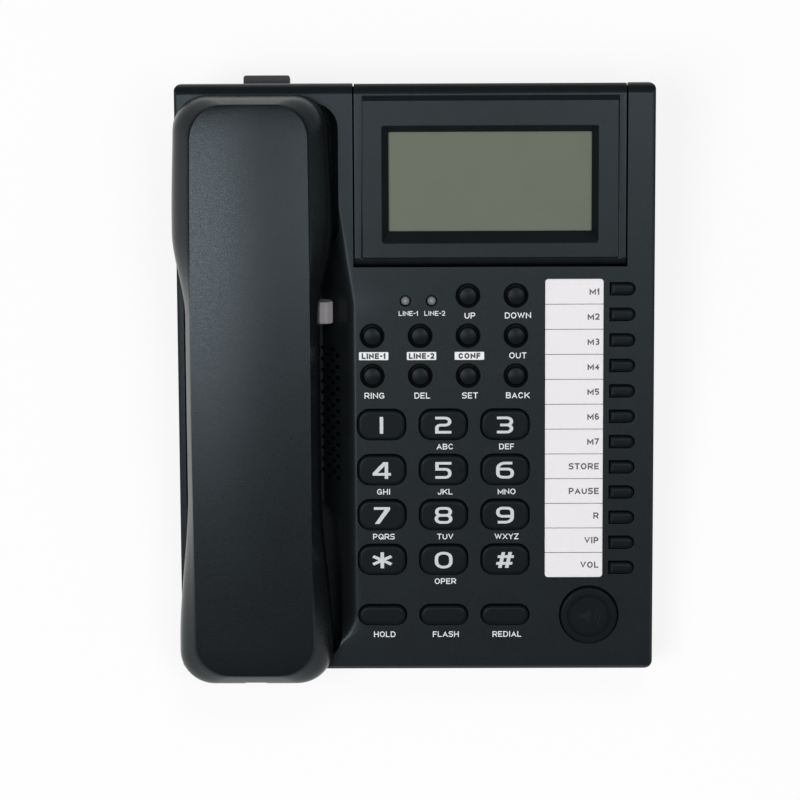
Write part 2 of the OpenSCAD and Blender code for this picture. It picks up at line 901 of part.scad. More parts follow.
module panel_block(w0) {
    difference() {
        on_face(disp_x0, disp_v0, 0)
            rotate([90, 0, 90])
                linear_extrude(disp_w)
                    panel_side(w0);
        translate([-body_w, half_d - rear_gap, 0])
            cube([2 * body_w, 2 * body_d, 2 * tall]);
        edge_bevels();
    }
}

// Hole with sloping sides for the window, from the sunk plate down to the clear pane.
// The slopes run on by over past both of the plate's faces.
module window_hole() {
    over = 0.5;
    top = over - plate_sink;
    low = pane_w - over;
    side = window_bevel * over / plate_t;
    front = window_front_bevel * over / plate_t;
    intersection() {
        on_face(0, win_v1 + wall, 0)
            rotate([90, 0, 0])
                linear_extrude(win_v1 - win_v0 + 2 * wall)
                    polygon([
                        [win_x0 - side, top], [win_x1 + side, top],
                        [win_x1 - window_bevel - side, low], [win_x0 + window_bevel + side, low]
                    ]);
        on_face(win_x0 - wall, 0, 0)
            rotate([90, 0, 90])
                linear_extrude(win_x1 - win_x0 + 2 * wall)
                    polygon([
                        [win_v0 - front, top], [win_v1 + side, top],
                        [win_v1 - window_bevel - side, low], [win_v0 + window_front_bevel + front, low]
                    ]);
    }
}

// Sunk face of the panel, with a sloping rear side
module sunk_plate() {
    on_face(disp_x0 + display_rim, 0, 0)
        rotate([90, 0, 90])
            linear_extrude(disp_w - 2 * display_rim)
                polygon([
                    [plate_v0, -plate_sink],
                    [plate_v1 - plate_slope, -plate_sink],
                    [plate_v1 + plate_slope * eps / plate_sink, eps],
                    [plate_v0, eps]
                ]);
}

module display_frame() {
    color(charcoal)
        difference() {
            union() {
                difference() {
                    panel_block(-frame_d);
                    face_box(disp_x0 + panel_wall, disp_x1 - panel_wall, disp_v0 + panel_wall,
                        face_len - 3 * panel_wall, -frame_d - eps, pane_w);
                }
                for (x = [disp_x0 - display_gap - pin_len + pin_gap, disp_x1 - panel_wall / 2])
                    on_face(x, hinge_v, -hinge_r)
                        rotate([0, 90, 0])
                            cylinder(h = pin_len + display_gap + panel_wall / 2 - pin_gap, r = pin_r);
            }
            sunk_plate();
            window_hole();
        }
}

module display_back() {
    rest = pane_w - pane_t - lcd_t;
    color(charcoal) {
        difference() {
            panel_block(-display_t);
            face_box(-body_w, body_w, -body_d, 2 * body_d, -frame_d, tall);
            face_box(disp_x0 + panel_wall, disp_x1 - panel_wall, disp_v0 + panel_wall,
                face_len - 3 * panel_wall, -display_t + panel_wall, tall);
        }
        for (x = [win_x0 + rib_in, win_x1 - rib_in - rib_t])
            face_box(x, x + rib_t, win_v0 + rib_end, win_v1 - rib_end, -display_t + panel_wall / 2, rest);
    }
}

module display_window() {
    color([0.75, 0.8, 0.75, 0.4])
        face_box(win_x0 - pane_over, win_x1 + pane_over, win_v0 - pane_over, win_v1 + pane_over,
            pane_w - pane_t, pane_w);
}

module lcd_panel() {
    color("#6a7161")
        face_box(win_x0 - pane_over, win_x1 + pane_over, win_v0 - pane_over, win_v1 + pane_over,
            pane_w - pane_t - lcd_t, pane_w - pane_t);
}

// Keys

module key_cap(k) {
    kind = k[1];
    top = proud(kind);
    color(key_black)
        on_face(k[2][0], k[2][1], 0)
            if (kind == "round") {
                translate([0, 0, flange_w - flange_t])
                    cylinder(h = flange_t, r = round_r + key_gap + flange);
                intersection() {
                    translate([0, 0, flange_w - flange_t])
                        cylinder(h = top - flange_w + flange_t, r = round_r);
                    translate([0, 0, top - dome_bulge * round_r])
                        sphere(dome_bulge * round_r);
                }
            } else {
                translate([0, 0, flange_w - flange_t])
                    linear_extrude(flange_t)
                        key_outline(kind, key_gap + flange);
                translate([0, 0, flange_w - flange_t / 2])
                    linear_extrude(top - cap_step - flange_w + flange_t / 2)
                        key_outline(kind, 0);
                translate([0, 0, top - 2 * cap_step])
                    linear_extrude(2 * cap_step)
                        key_outline(kind, -cap_step);
            }
}

// Handset

function ease(t) = t <= 0 ? 0 : t >= 1 ? 1 : t * t * (3 - 2 * t);

// Half width of the handset's outline, widening from the waist to both ends
function outline_hw(v) = waist_hw + (ear_hw - waist_hw) * ease((v - hs_v1 + ear_start) / ear_run)
    + (mouth_hw - waist_hw) * ease((hs_v0 + mouth_start - v) / mouth_run)
    - ear_taper * ease((v - hs_v1 + taper_run) / taper_run);

// Half width of the flat along the back
function flat_hw(v) = back_hw + back_swell * (1 - pow((v - hs_mid) / (hs_v1 - hs_mid), 2));

// Height of the back above the parting line
function back_at(v) = back_h - back_arch * pow((v - hs_mid) / (hs_v1 - hs_mid), 2);

// Depth of the cups and the grip below the parting line
function cup_at(v) = grip_d + (cup_d - grip_d)
    * max(ease((v - ear_neck) / neck_len), ease((mouth_neck - v) / neck_len));

corner_steps = 6;
side_steps = 40;

// Places along one side: [v, how far the corner draws the side in]
function side_places(v0, v1, r) = concat(
    [for (i = [0:corner_steps - 1]) let (a = 90 * i / corner_steps)
        [v0 + r * (1 - cos(a)), r * (1 - sin(a))]],
    [for (i = [0:side_steps]) [v0 + r + (v1 - v0 - 2 * r) * i / side_steps, 0]],
    [for (i = [1:corner_steps]) let (a = 90 * i / corner_steps)
        [v1 - r + r * sin(a), r * (1 - cos(a))]]
);

// One closed ring round the handset: right side to the rear, then left side to the front.
// blend draws the half width towards the flat of the back, and kind says what sets the height.
function ring(v0, v1, r, inset, blend, kind, h) = let (
    side = side_places(v0, v1, r),
    n = len(side),
    hw = [for (p = side) outline_hw(p[0]) * (1 - blend) + flat_hw(p[0]) * blend - inset - p[1]],
    w = [for (p = side) kind == "back" ? parting_w + h[0] * back_at(p[0]) - h[1]
        : kind == "cup" ? parting_w - cup_at(p[0]) + h[1] : parting_w - h[1]]
) concat(
    [for (i = [0:n - 1]) [handset_x + hw[i], side[i][0], w[i]]],
    [for (i = [n - 1:-1:0]) [handset_x - hw[i], side[i][0], w[i]]]
);

// Closed solid through a list of rings, with a strip of faces over each end
module ring_solid(rings) {
    n = len(rings[0]);
    m = len(rings);
    sides = [for (k = [0:m - 2], i = [0:n - 1]) let (j = (i + 1) % n)
        each [[k * n + i, k * n + j, (k + 1) * n + j], [k * n + i, (k + 1) * n + j, (k + 1) * n + i]]];
    first = [for (i = [0:n / 2 - 2])
        each [[i, n - 1 - i, n - 2 - i], [i, n - 2 - i, i + 1]]];
    last = [for (f = first) [for (q = [2, 1, 0]) f[q] + (m - 1) * n]];
    on_face()
        polyhedron(points = [for (r = rings) each r], faces = concat(sides, first, last), convexity = 6);
}

// Layers of the back from the parting line up: share of the height, blend towards the flat
back_layers = [[0, 0], [0.3, 0.05], [0.55, 0.2], [0.88, 0.8], [0.97, 0.95], [1, 1]];

function back_ring(layer, t) = ring(hs_v0 + back_front_in * layer[1] + t, hs_v1 - back_rear_in * layer[1] - t,
    outline_r - t, t, layer[1], "back", [layer[0], t * layer[0]]);

module handset_back() {
    outer = [for (l = back_layers) back_ring(l, 0)];
    inner = [for (i = [5, 2, 0]) back_ring(back_layers[i], shell_t)];
    hole = cord_jack[0] / 2 + 2 * pin_gap;
    low = parting_w + jack_up + cord_jack[3] - 2 * pin_gap;
    color(charcoal)
        difference() {
            ring_solid(concat(inner, outer));
            face_box(handset_x - hole, handset_x + hole, hs_v0 - eps, hs_v0 + shell_t + jack_in + eps,
                low, low + cord_jack[1] + 4 * pin_gap);
        }
}

// Rings of the cup shell from the parting line down, t inside the outer skin
function lip_ring(inset, depth) = ring(hs_v0 + inset, hs_v1 - inset, outline_r - inset,
    inset, 0, "lip", [0, depth]);
function cup_ring(inset, kind, h) = ring(cup_v0 + inset, cup_v1 - inset, cup_r - inset,
    lip + inset, 0, kind, [0, h]);

module handset_cups() {
    outer = [lip_ring(0, 0), lip_ring(lip_in, lip_t), cup_ring(0, "lip", lip_foot),
        cup_ring(cup_draft, "cup", cup_edge), cup_ring(cup_edge, "cup", 0)];
    inner = [cup_ring(shell_t + lip_t, "cup", shell_t), cup_ring(shell_t, "lip", 2 * lip_in),
        lip_ring(shell_t + lip_in, cup_draft), lip_ring(shell_t, 0)];
    color(charcoal)
        difference() {
            ring_solid(concat(inner, outer));
            for (a = [0:60:300])
                on_face(handset_x + sound_ring * cos(a), ear_mid + sound_ring * sin(a), -well_d)
                    cylinder(h = 2 * shell_t, r = sound_r);
            on_face(handset_x, mouth_mid, -well_d)
                cylinder(h = 2 * shell_t, r = sound_r);
        }
}

module receiver() {
    floor_w = parting_w - cup_d + shell_t;
    color("#777777")
        on_face(handset_x, ear_mid, floor_w) {
            cylinder(h = receiver_t, r = receiver_r);
            translate([0, 0, receiver_t - eps])
                cylinder(h = magnet_t + eps, r = receiver_r / 2);
        }
}

module microphone() {
    color("#777777")
        on_face(handset_x, mouth_mid, parting_w - cup_d + shell_t)
            cylinder(h = mic_t, r = mic_r);
}

module handset_socket() {
    color("#3a3a3d")
        on_face(handset_x, hs_v0 + shell_t + jack_in, parting_w + jack_up)
            jack(cord_jack);
}

top_cover();
bottom_cover();
rubber_feet();
case_screws();
main_board();
keypad_mat();
display_frame();
display_back();
display_window();
lcd_panel();
hook_lever();
loudspeaker();
line_sockets();
cord_socket();
handset_back();
handset_cups();
receiver();
microphone();
handset_socket();
line_lamps();
label_card();
label_cover();
for (k = KEYS) key_cap(k);
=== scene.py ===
"""Looks of a desk telephone: its finishes, handset shells, keys, lettering, light and camera.

Shapes are written in millimetres in the face's frame: x runs to the right, v up the slope from
the face's front edge, and w square to the face. FACE takes them to the frame's metres.
"""

import json
import math

import bmesh
import bpy
from mathutils import Matrix, Vector

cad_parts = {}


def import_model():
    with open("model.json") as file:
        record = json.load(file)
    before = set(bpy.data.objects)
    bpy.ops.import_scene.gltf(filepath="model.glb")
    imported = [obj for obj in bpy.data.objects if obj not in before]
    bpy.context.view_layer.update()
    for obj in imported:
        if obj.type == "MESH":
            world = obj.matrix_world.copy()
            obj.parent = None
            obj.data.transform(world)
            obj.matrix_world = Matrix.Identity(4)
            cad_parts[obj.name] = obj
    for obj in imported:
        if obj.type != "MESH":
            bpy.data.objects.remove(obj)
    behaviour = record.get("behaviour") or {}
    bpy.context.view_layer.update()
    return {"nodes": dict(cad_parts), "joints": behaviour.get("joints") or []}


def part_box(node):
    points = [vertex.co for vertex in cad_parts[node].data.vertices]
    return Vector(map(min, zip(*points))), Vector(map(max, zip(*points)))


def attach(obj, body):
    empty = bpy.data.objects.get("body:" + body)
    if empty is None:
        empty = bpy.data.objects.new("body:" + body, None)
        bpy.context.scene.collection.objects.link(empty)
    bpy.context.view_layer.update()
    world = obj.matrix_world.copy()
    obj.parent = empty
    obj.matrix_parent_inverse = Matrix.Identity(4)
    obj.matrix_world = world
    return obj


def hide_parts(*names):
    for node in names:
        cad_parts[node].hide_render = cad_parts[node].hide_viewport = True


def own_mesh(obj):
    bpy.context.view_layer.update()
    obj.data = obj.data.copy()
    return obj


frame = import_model()

MM = 0.001
NODES = frame["nodes"]
JOINTS = {joint["name"]: joint for joint in frame["joints"]}
SCENE = bpy.context.scene


# Frame of the sloping face

def face_matrix():
    """Takes millimetres on the face to metres in the frame."""
    w_axis = Vector(JOINTS["handset_lift"]["axis"]).normalized()
    x_axis = Vector((1, 0, 0))
    v_axis = w_axis.cross(x_axis)
    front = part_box("top_cover")[0].y
    reach = max(w_axis.dot(vert.co) for vert in NODES["label_cover"].data.vertices)
    matrix = Matrix((x_axis, v_axis, w_axis)).transposed().to_4x4()
    matrix.translation = Vector((0, front, (reach - w_axis.y * front) / w_axis.z))
    return matrix @ Matrix.Scale(MM, 4)


FACE = face_matrix()


def box_of(spots):
    """Lowest and highest corner round a list of points."""
    return [Vector([pick(spot[axis] for spot in spots) for axis in range(3)]) for pick in (min, max)]


def extents(node):
    """Lowest and highest x, v and w of a CAD node on the face, in millimetres."""
    back = FACE.inverted()
    return box_of([back @ vert.co for vert in NODES[node].data.vertices])


# Materials

SRGB_KNEE = 0.04045
NOISE_LOW, NOISE_HIGH = 0.3, 0.7
WAVER = 0.06


def srgb(red, green, blue):
    """Linear colour from 8-bit display values."""
    shares = [value / 255 for value in (red, green, blue)]
    return tuple(((c + 0.055) / 1.055) ** 2.4 if c > SRGB_KNEE else c / 12.92 for c in shares)


def scaled(colour, factor):
    return tuple(min(c * factor, 1) for c in colour) + (1,)


class Finish:
    """A node material round one principled shader, with the texture nodes that the finishes share."""

    def __init__(self, name):
        self.material = bpy.data.materials.new(name)
        self.material.use_nodes = True
        self.tree = self.material.node_tree
        self.shader = self.tree.nodes["Principled BSDF"]
        self.where = self.add("ShaderNodeTexCoord").outputs["Object"]

    def add(self, kind, **inputs):
        node = self.tree.nodes.new(kind)
        for name, value in inputs.items():
            node.inputs[name.replace("_", " ")].default_value = value
        return node

    def link(self, output, target):
        self.tree.links.new(output, target)

    def noise(self, size, detail=2.0, roughness=0.5, stretch=(1, 1, 1)):
        """Noise whose spots are about size millimetres across."""
        spread = self.add("ShaderNodeMapping", Scale=stretch)
        self.link(self.where, spread.inputs["Vector"])
        noise = self.add("ShaderNodeTexNoise", Scale=1 / (size * MM), Detail=detail, Roughness=roughness)
        self.link(spread.outputs["Vector"], noise.inputs["Vector"])
        return noise.outputs["Fac"]

    def paint(self, noise, colour, low, high):
        """Base colour that runs from low to high times colour as the noise rises."""
        ramp = self.add("ShaderNodeValToRGB")
        for stop, place, factor in zip(ramp.color_ramp.elements, (NOISE_LOW, NOISE_HIGH), (low, high)):
            stop.position = place
            stop.color = scaled(colour, factor)
        self.link(noise, ramp.inputs["Fac"])
        self.link(ramp.outputs["Color"], self.shader.inputs["Base Color"])

    def waver(self, noise, low, high):
        """Roughness that runs from low to high as the noise rises."""
        run = self.add("ShaderNodeMapRange", From_Min=NOISE_LOW, From_Max=NOISE_HIGH, To_Min=low,
                       To_Max=high)
        self.link(noise, run.inputs["Value"])
        self.link(run.outputs["Result"], self.shader.inputs["Roughness"])

    def bump(self, value, depth):
        bump = self.add("ShaderNodeBump", Strength=1.0, Distance=depth * MM)
        self.link(value, bump.inputs["Height"])
        self.link(bump.outputs["Normal"], self.shader.inputs["Normal"])

    def set(self, **inputs):
        for name, value in inputs.items():
            self.shader.inputs[name.replace("_", " ")].default_value = value


def moulded(name, colour, roughness, grain, depth, mottle=0.1, patch=9, gloss=0.5, tint=(1, 1, 1, 1)):
    """Moulded plastic: a fine spark-eroded grain in millimetres, and faint mottling in broad patches."""
    finish = Finish(name)
    fine = finish.noise(grain, roughness=0.6)
    finish.paint(finish.noise(patch, detail=3), colour, 1 - mottle, 1 + mottle)
    finish.waver(fine, roughness - WAVER, roughness + WAVER)
    finish.bump(fine, depth)
    finish.set(Specular_IOR_Level=gloss, Specular_Tint=tint)
    return finish.material


def printed(name, colour):
    """Ink or paint with a slightly uneven cover."""
    finish = Finish(name)
    finish.paint(finish.noise(0.5), colour, 0.9, 1)
    finish.set(Roughness=0.5)
    return finish.material


def paper(name, colour):
    """Smooth card: fibres as fine stretched noise."""
    finish = Finish(name)
    fibre = finish.noise(0.35, detail=3, stretch=(1, 0.4, 1))
    finish.paint(fibre, colour, 0.95, 1)
    finish.set(Roughness=0.75)
    finish.bump(fibre, 0.01)
    return finish.material


def clear(name, tint, alpha, gloss):
    """Thin clear plastic that shows what lies under it, with a soft gloss and faint haze."""
    finish = Finish(name)
    haze = finish.noise(6)
    finish.waver(haze, 0.12, 0.2)
    finish.paint(haze, tint, 0.95, 1)
    finish.set(Alpha=alpha, Specular_IOR_Level=gloss)
    return finish.material


def liquid_crystal(name, colour):
    """Grey-green panel: soft clouding, and a reflector grain behind the glass."""
    finish = Finish(name)
    finish.paint(finish.noise(22, detail=1), colour, 0.94, 1.05)
    finish.waver(finish.noise(0.25, detail=1), 0.42, 0.5)
    finish.set(Specular_IOR_Level=0.3)
    return finish.material


def metal(name, colour, roughness, grain):
    """Plain or plated metal with a fine brushed grain."""
    finish = Finish(name)
    brush = finish.noise(grain, stretch=(1, 6, 1))
    finish.paint(brush, colour, 0.88, 1)
    finish.waver(brush, roughness - WAVER, roughness + WAVER)
    finish.set(Metallic=1.0)
    return finish.material


COOL = (0.76, 0.91, 1, 1)
CASE = moulded("case_plastic", srgb(21, 24, 26), 0.31, grain=0.32, depth=0.012, gloss=0.19, tint=COOL)
HANDSET = moulded("handset_plastic", srgb(20, 23, 25), 0.31, grain=0.5, depth=0.03, patch=14, gloss=0.24,
                  tint=COOL)
KEY = moulded("key_plastic", srgb(18, 21, 23), 0.34, grain=0.22, depth=0.006, gloss=0.08, tint=COOL)
SIGN = moulded("sign_plastic", srgb(23, 26, 28), 0.3, grain=0.22, depth=0.006, gloss=0.12, tint=COOL)
# Painted shade: a near-black matt plastic on the sunk rings round the round keys. It stands in for the shade
# of the deep gaps there.
RECESS_SHADE = moulded("recess_painted_shade", srgb(5, 6, 7), 0.75, grain=0.3, depth=0.02, gloss=0.05)
TAB = moulded("tab_plastic", srgb(60, 60, 64), 0.4, grain=0.3, depth=0.01, gloss=0.19)
HOOK = moulded("hook_plastic", srgb(160, 156, 160), 0.45, grain=0.4, depth=0.02, mottle=0.05)
SOCKET = moulded("socket_plastic", srgb(26, 26, 28), 0.38, grain=0.3, depth=0.01)
RUBBER = moulded("foot_rubber", srgb(28, 28, 28), 0.8, grain=0.5, depth=0.05)
MAT = moulded("mat_rubber", srgb(92, 92, 96), 0.7, grain=0.6, depth=0.03)
BOARD = moulded("board_mask", srgb(38, 92, 52), 0.4, grain=0.7, depth=0.02, mottle=0.2, patch=3)
LAMP = moulded("lamp_plastic", srgb(122, 124, 126), 0.35, grain=0.5, depth=0.01, mottle=0.08, patch=2)
STEEL = metal("screw_steel", srgb(190, 190, 192), 0.3, grain=0.2)
GOLD = metal("contact_gold", srgb(214, 176, 92), 0.25, grain=0.15)
DRIVER = metal("driver_metal", srgb(120, 120, 124), 0.4, grain=0.3)
INK = printed("white_ink", srgb(204, 206, 209))
LABEL_INK = printed("label_ink", srgb(234, 235, 237))
DARK_INK = printed("dark_ink", srgb(22, 22, 25))
CARD = paper("card_paper", srgb(236, 233, 236))
COVER = clear("clear_plastic", (1, 1, 1), 0.05, gloss=0.3)
PANE = clear("pane_plastic", srgb(200, 206, 196), 0.06, gloss=0.25)
LCD = liquid_crystal("lcd_glass", srgb(71, 78, 58))


# Mesh helpers

LEAST_R = 0.1
WELD = 0.001
CREASE = 40


def angles(first, last, steps):
    """Angles in radians, from first to last degrees in equal steps."""
    return [math.radians(first + (last - first) * i / steps) for i in range(steps + 1)]


def loft(bm, rings, caps=True):
    """Skin of quads through rings of equal length."""
    rows = [[bm.verts.new(point) for point in ring] for ring in rings]
    count = len(rows[0])
    for low, high in zip(rows, rows[1:]):
        for i in range(count):
            j = (i + 1) % count
            bm.faces.new((low[i], low[j], high[j], high[i]))
    if caps:
        bm.faces.new(reversed(rows[0]))
        bm.faces.new(rows[-1])
    return rows


def corner_ring(size, radii, grow, w, middle, steps=6):
    """Ring round a rectangle with round corners, drawn outwards by grow, at height w.
    The corners run front right, rear right, rear left and front left."""
    points = []
    for k, (side, end) in enumerate(((1, -1), (1, 1), (-1, 1), (-1, -1))):
        radius = max(radii[k] + grow, LEAST_R)
        x = middle[0] + side * (size[0] / 2 + grow - radius)
        v = middle[1] + end * (size[1] / 2 + grow - radius)
        points += [Vector((x + radius * math.cos(a), v + radius * math.sin(a), w))
                   for a in angles(90 * k - 90, 90 * k, steps)]
    return points


def turned(bm, middle, profile, steps=8):
    """Round solid about an upright line, from a profile of (radius, w)."""
    loft(bm, [corner_ring((2 * r, 2 * r), [r] * 4, 0, w, middle, steps) for r, w in profile])


def fillet(top, run, drop, steps):
    """Profile of (grow, w) over an upper edge that falls away by drop over its last run."""
    return [(-run * (1 - math.cos(a)), top - drop * (1 - math.sin(a))) for a in angles(0, 90, steps)]


def plan(low, high):
    """Middle and size of a box, seen from above."""
    return ((low.x + high.x) / 2, (low.y + high.y) / 2), (high.x - low.x, high.y - low.y)


def clean(bm):
    bmesh.ops.remove_doubles(bm, verts=bm.verts, dist=WELD)
    bmesh.ops.dissolve_degenerate(bm, edges=bm.edges, dist=WELD / 2)
    bmesh.ops.recalc_face_normals(bm, faces=bm.faces)


def mesh_object(name, bm):
    """New object in the scene from a mesh under work, which is freed."""
    mesh = bpy.data.meshes.new(name)
    bm.to_mesh(mesh)
    bm.free()
    obj = bpy.data.objects.new(name, mesh)
    SCENE.collection.objects.link(obj)
    return obj


def weigh_normals(obj):
    normals = obj.modifiers.new("normals", "WEIGHTED_NORMAL")
    normals.keep_sharp = True


def piece(name, bm, body, materials, replaces=(), place=FACE):
    """Turns a mesh in millimetres into a piece that rides on a body."""
    bm.transform(place)
    obj = mesh_object(name, bm)
    for material in materials:
        obj.data.materials.append(material)
    obj.data.shade_smooth()
    obj.data.set_sharp_from_angle(angle=math.radians(CREASE))
    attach(obj, body)
    if replaces:
        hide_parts(*replaces)
    weigh_normals(obj)
    return obj


# CAD nodes that stay

def smooth_group(crease, flat_area):
    """Geometry nodes that shade smooth wherever two faces meet at less than crease degrees,
    apart from the edges of flats larger than flat_area square millimetres."""
    group = bpy.data.node_groups.new("smooth_by_angle", "GeometryNodeTree")
    for way in ("INPUT", "OUTPUT"):
        group.interface.new_socket("Geometry", in_out=way, socket_type="NodeSocketGeometry")
    add, link = group.nodes.new, group.links.new
    start, end = add("NodeGroupInput"), add("NodeGroupOutput")
    faces, edges = add("GeometryNodeSetShadeSmooth"), add("GeometryNodeSetShadeSmooth")
    edges.domain = "EDGE"
    both = add("FunctionNodeBooleanMath")
    tests = (("GeometryNodeInputMeshEdgeAngle", "Unsigned Angle", math.radians(crease)),
             ("GeometryNodeInputMeshFaceArea", "Area", flat_area * MM ** 2 / 2))
    for i, (kind, output, limit) in enumerate(tests):
        below = add("FunctionNodeCompare")
        below.operation = "LESS_THAN"
        below.inputs["B"].default_value = limit
        link(add(kind).outputs[output], below.inputs["A"])
        link(below.outputs["Result"], both.inputs[i])
    link(start.outputs["Geometry"], faces.inputs["Geometry"])
    link(faces.outputs["Geometry"], edges.inputs["Geometry"])
    link(both.outputs["Boolean"], edges.inputs["Shade Smooth"])
    link(edges.outputs["Geometry"], end.inputs["Geometry"])
    return group


FOLD = 32
SMOOTH = smooth_group(crease=FOLD, flat_area=400)


def dress(node, material, bevel):
    """Gives a CAD node its material, and rounds its edges by bevel millimetres."""
    obj = NODES[node]
    obj.data.materials.clear()
    obj.data.materials.append(material)
    weld = obj.modifiers.new("weld", "WELD")
    weld.merge_threshold = WELD * MM
    if bevel:
        flat = obj.modifiers.new("flat", "DECIMATE")
        flat.decimate_type = "DISSOLVE"
        flat.angle_limit = math.radians(1)
        edge = obj.modifiers.new("edge", "BEVEL")
        edge.width = bevel * MM
        edge.segments = 2
        edge.limit_method = "ANGLE"
        edge.angle_limit = math.radians(FOLD)
        edge.use_clamp_overlap = False
        edge.miter_outer = "MITER_ARC"
    smooth = obj.modifiers.new("smooth", "NODES")
    smooth.node_group = SMOOTH
    weigh_normals(obj)


DRESSED = (("top_cover", CASE, 0), ("bottom_cover", CASE, 0.35), ("display_frame", CASE, 0.3),
           ("display_back", CASE, 0.4), ("hook_lever", HOOK, 0.5), ("line_sockets", SOCKET, 0.2),
           ("cord_socket", SOCKET, 0.2), ("handset_socket", SOCKET, 0.2), ("main_board", BOARD, 0),
           ("loudspeaker", DRIVER, 0), ("receiver", DRIVER, 0), ("microphone", DRIVER, 0),
           ("label_card", CARD, 0))
for node, material, bevel in DRESSED:
    dress(node, material, bevel)


# Handset

BACK_LOW, BACK_TOP = extents("handset_back")
HANDSET_X = (BACK_LOW.x + BACK_TOP.x) / 2
HS_V0, HS_V1 = BACK_LOW.y, BACK_TOP.y
HS_MID = (HS_V0 + HS_V1) / 2
PARTING = BACK_LOW.z
BACK_H = BACK_TOP.z - PARTING
CUP_D = PARTING - extents("handset_cups")[0].z
EAR_HW, MOUTH_HW, WAIST_HW = 28.6, 27.9, 24
EAR_START, EAR_RUN = 78, 30
MOUTH_START, MOUTH_RUN = 72.7, 58
END_TAPER, TAPER_RUN = 1, 45
BACK_HW, BACK_SWELL = 20.5, 0.7
BACK_ARCH = 6
BACK_FRONT_IN, BACK_REAR_IN = 5.4, 2.1
GRIP_D = 6.5
SHELL = 2
LIP = 4.8
OUTLINE_R = 12
CUP_R = 8.5
CUP_FRONT_IN = 7.7
CUP_REAR_IN = 3.8
NECK = 13
EAR_NECK = HS_V1 - 58.8
MOUTH_NECK = HS_V0 + 66.7
CORNER_STEPS = 12
SIDE_STEPS = 110
CROSS_STEPS = 14
SEAM = 0.3
CROWN = 0.04
SOCKET_RIM, SOCKET_R = 1.3, 0.8
HOLE_RING, HOLE_R = 6, 1.2
BACK_SIDE = [(0.02, 0), (0.3, 0.05), (0.55, 0.2), (0.88, 0.8), (0.945, 0.95), (0.96, 1)]


def ease(t):
    t = min(max(t, 0), 1)
    return t * t * (3 - 2 * t)


def outline_hw(v):
    """Half width of the handset's outline, widening from the waist to both ends."""
    ear = (EAR_HW - WAIST_HW) * ease((v - HS_V1 + EAR_START) / EAR_RUN)
    mouth = (MOUTH_HW - WAIST_HW) * ease((HS_V0 + MOUTH_START - v) / MOUTH_RUN)
    return WAIST_HW + ear + mouth - END_TAPER * ease((v - HS_V1 + TAPER_RUN) / TAPER_RUN)


def flat_hw(v):
    """Half width of the flat along the back."""
    return BACK_HW + BACK_SWELL * (1 - ((v - HS_MID) / (HS_V1 - HS_MID)) ** 2)


def back_at(v):
    return BACK_H - BACK_ARCH * ((v - HS_MID) / (HS_V1 - HS_MID)) ** 2


def cup_at(v):
    deep = max(ease((v - EAR_NECK) / NECK), ease((MOUTH_NECK - v) / NECK))
    return GRIP_D + (CUP_D - GRIP_D) * deep


def side_places(v0, v1, radius):
    """Places along one side as (v, how far the corner draws the side in)."""
    turns = angles(0, 90, CORNER_STEPS)
    front = [(v0 + radius * (1 - math.cos(a)), radius * (1 - math.sin(a))) for a in turns]
    run = v1 - v0 - 2 * radius
    middle = [(v0 + radius + run * i / SIDE_STEPS, 0) for i in range(1, SIDE_STEPS)]
    rear = [(v1 - radius + radius * math.sin(a), radius * (1 - math.cos(a))) for a in turns]
    return front + middle + rear


def handset_ring(v0, v1, radius, inset, blend, height):
    """One ring round the handset. blend draws its half width towards the flat of the back,
    and height gives w at a place along it."""
    right, left = [], []
    for v, drawn in side_places(v0, v1, radius):
        half = outline_hw(v) * (1 - blend) + flat_hw(v) * blend - inset - drawn
        right.append(Vector((HANDSET_X + half, v, height(v))))
        left.append(Vector((HANDSET_X - half, v, height(v))))
    return right + left[::-1]


def back_ring(share, blend, inset=0.0):
    return handset_ring(HS_V0 + BACK_FRONT_IN * blend + inset, HS_V1 - BACK_REAR_IN * blend - inset,
                        OUTLINE_R - inset, inset, blend, lambda v: PARTING + share * (back_at(v) - inset))


def lip_ring(inset, depth):
    return handset_ring(HS_V0 + inset, HS_V1 - inset, OUTLINE_R - inset, inset, 0, lambda v: PARTING - depth)


def cup_ring(inset, height):
    return handset_ring(HS_V0 + CUP_FRONT_IN + inset, HS_V1 - CUP_REAR_IN - inset, CUP_R - inset,
                        LIP + inset, 0, height)


def chaikin(points, rounds):
    """Rounds the corners of an open line, with its ends kept."""
    for _ in range(rounds):
        cut = [points[0]]
        for (a, b), (c, d) in zip(points, points[1:]):
            cut += [(a * 0.75 + c * 0.25, b * 0.75 + d * 0.25), (a * 0.25 + c * 0.75, b * 0.25 + d * 0.75)]
        points = cut + [points[-1]]
    return points


def cross_cap(bm, row, crown, flip):
    """Closes a handset ring with strips from side to side, raised by crown along the middle.
    The ring's own end edges stay whole, so that no slit opens there."""
    half = len(row) // 2
    right, left = row[:half], row[half:][::-1]
    lines = []
    for i, (a, b) in enumerate(zip(right, left)):
        line = [a]
        steps = CROSS_STEPS if 0 < i < half - 1 else 1
        for k in range(1, steps):
            t = k / steps
            spot = a.co.lerp(b.co, t)
            spot.z += crown * math.sin(math.pi * t) * min(1, (a.co - b.co).length / BACK_HW / 2)
            line.append(bm.verts.new(spot))
        lines.append(line + [b])
    for low, high in zip(lines, lines[1:]):
        if len(low) == len(high):
            faces = [(low[k], high[k], high[k + 1], low[k + 1]) for k in range(CROSS_STEPS)]
        else:
            faces = [low[:1] + high + low[:0:-1]]
        for face in faces:
            bm.faces.new(face[::-1] if flip else face)


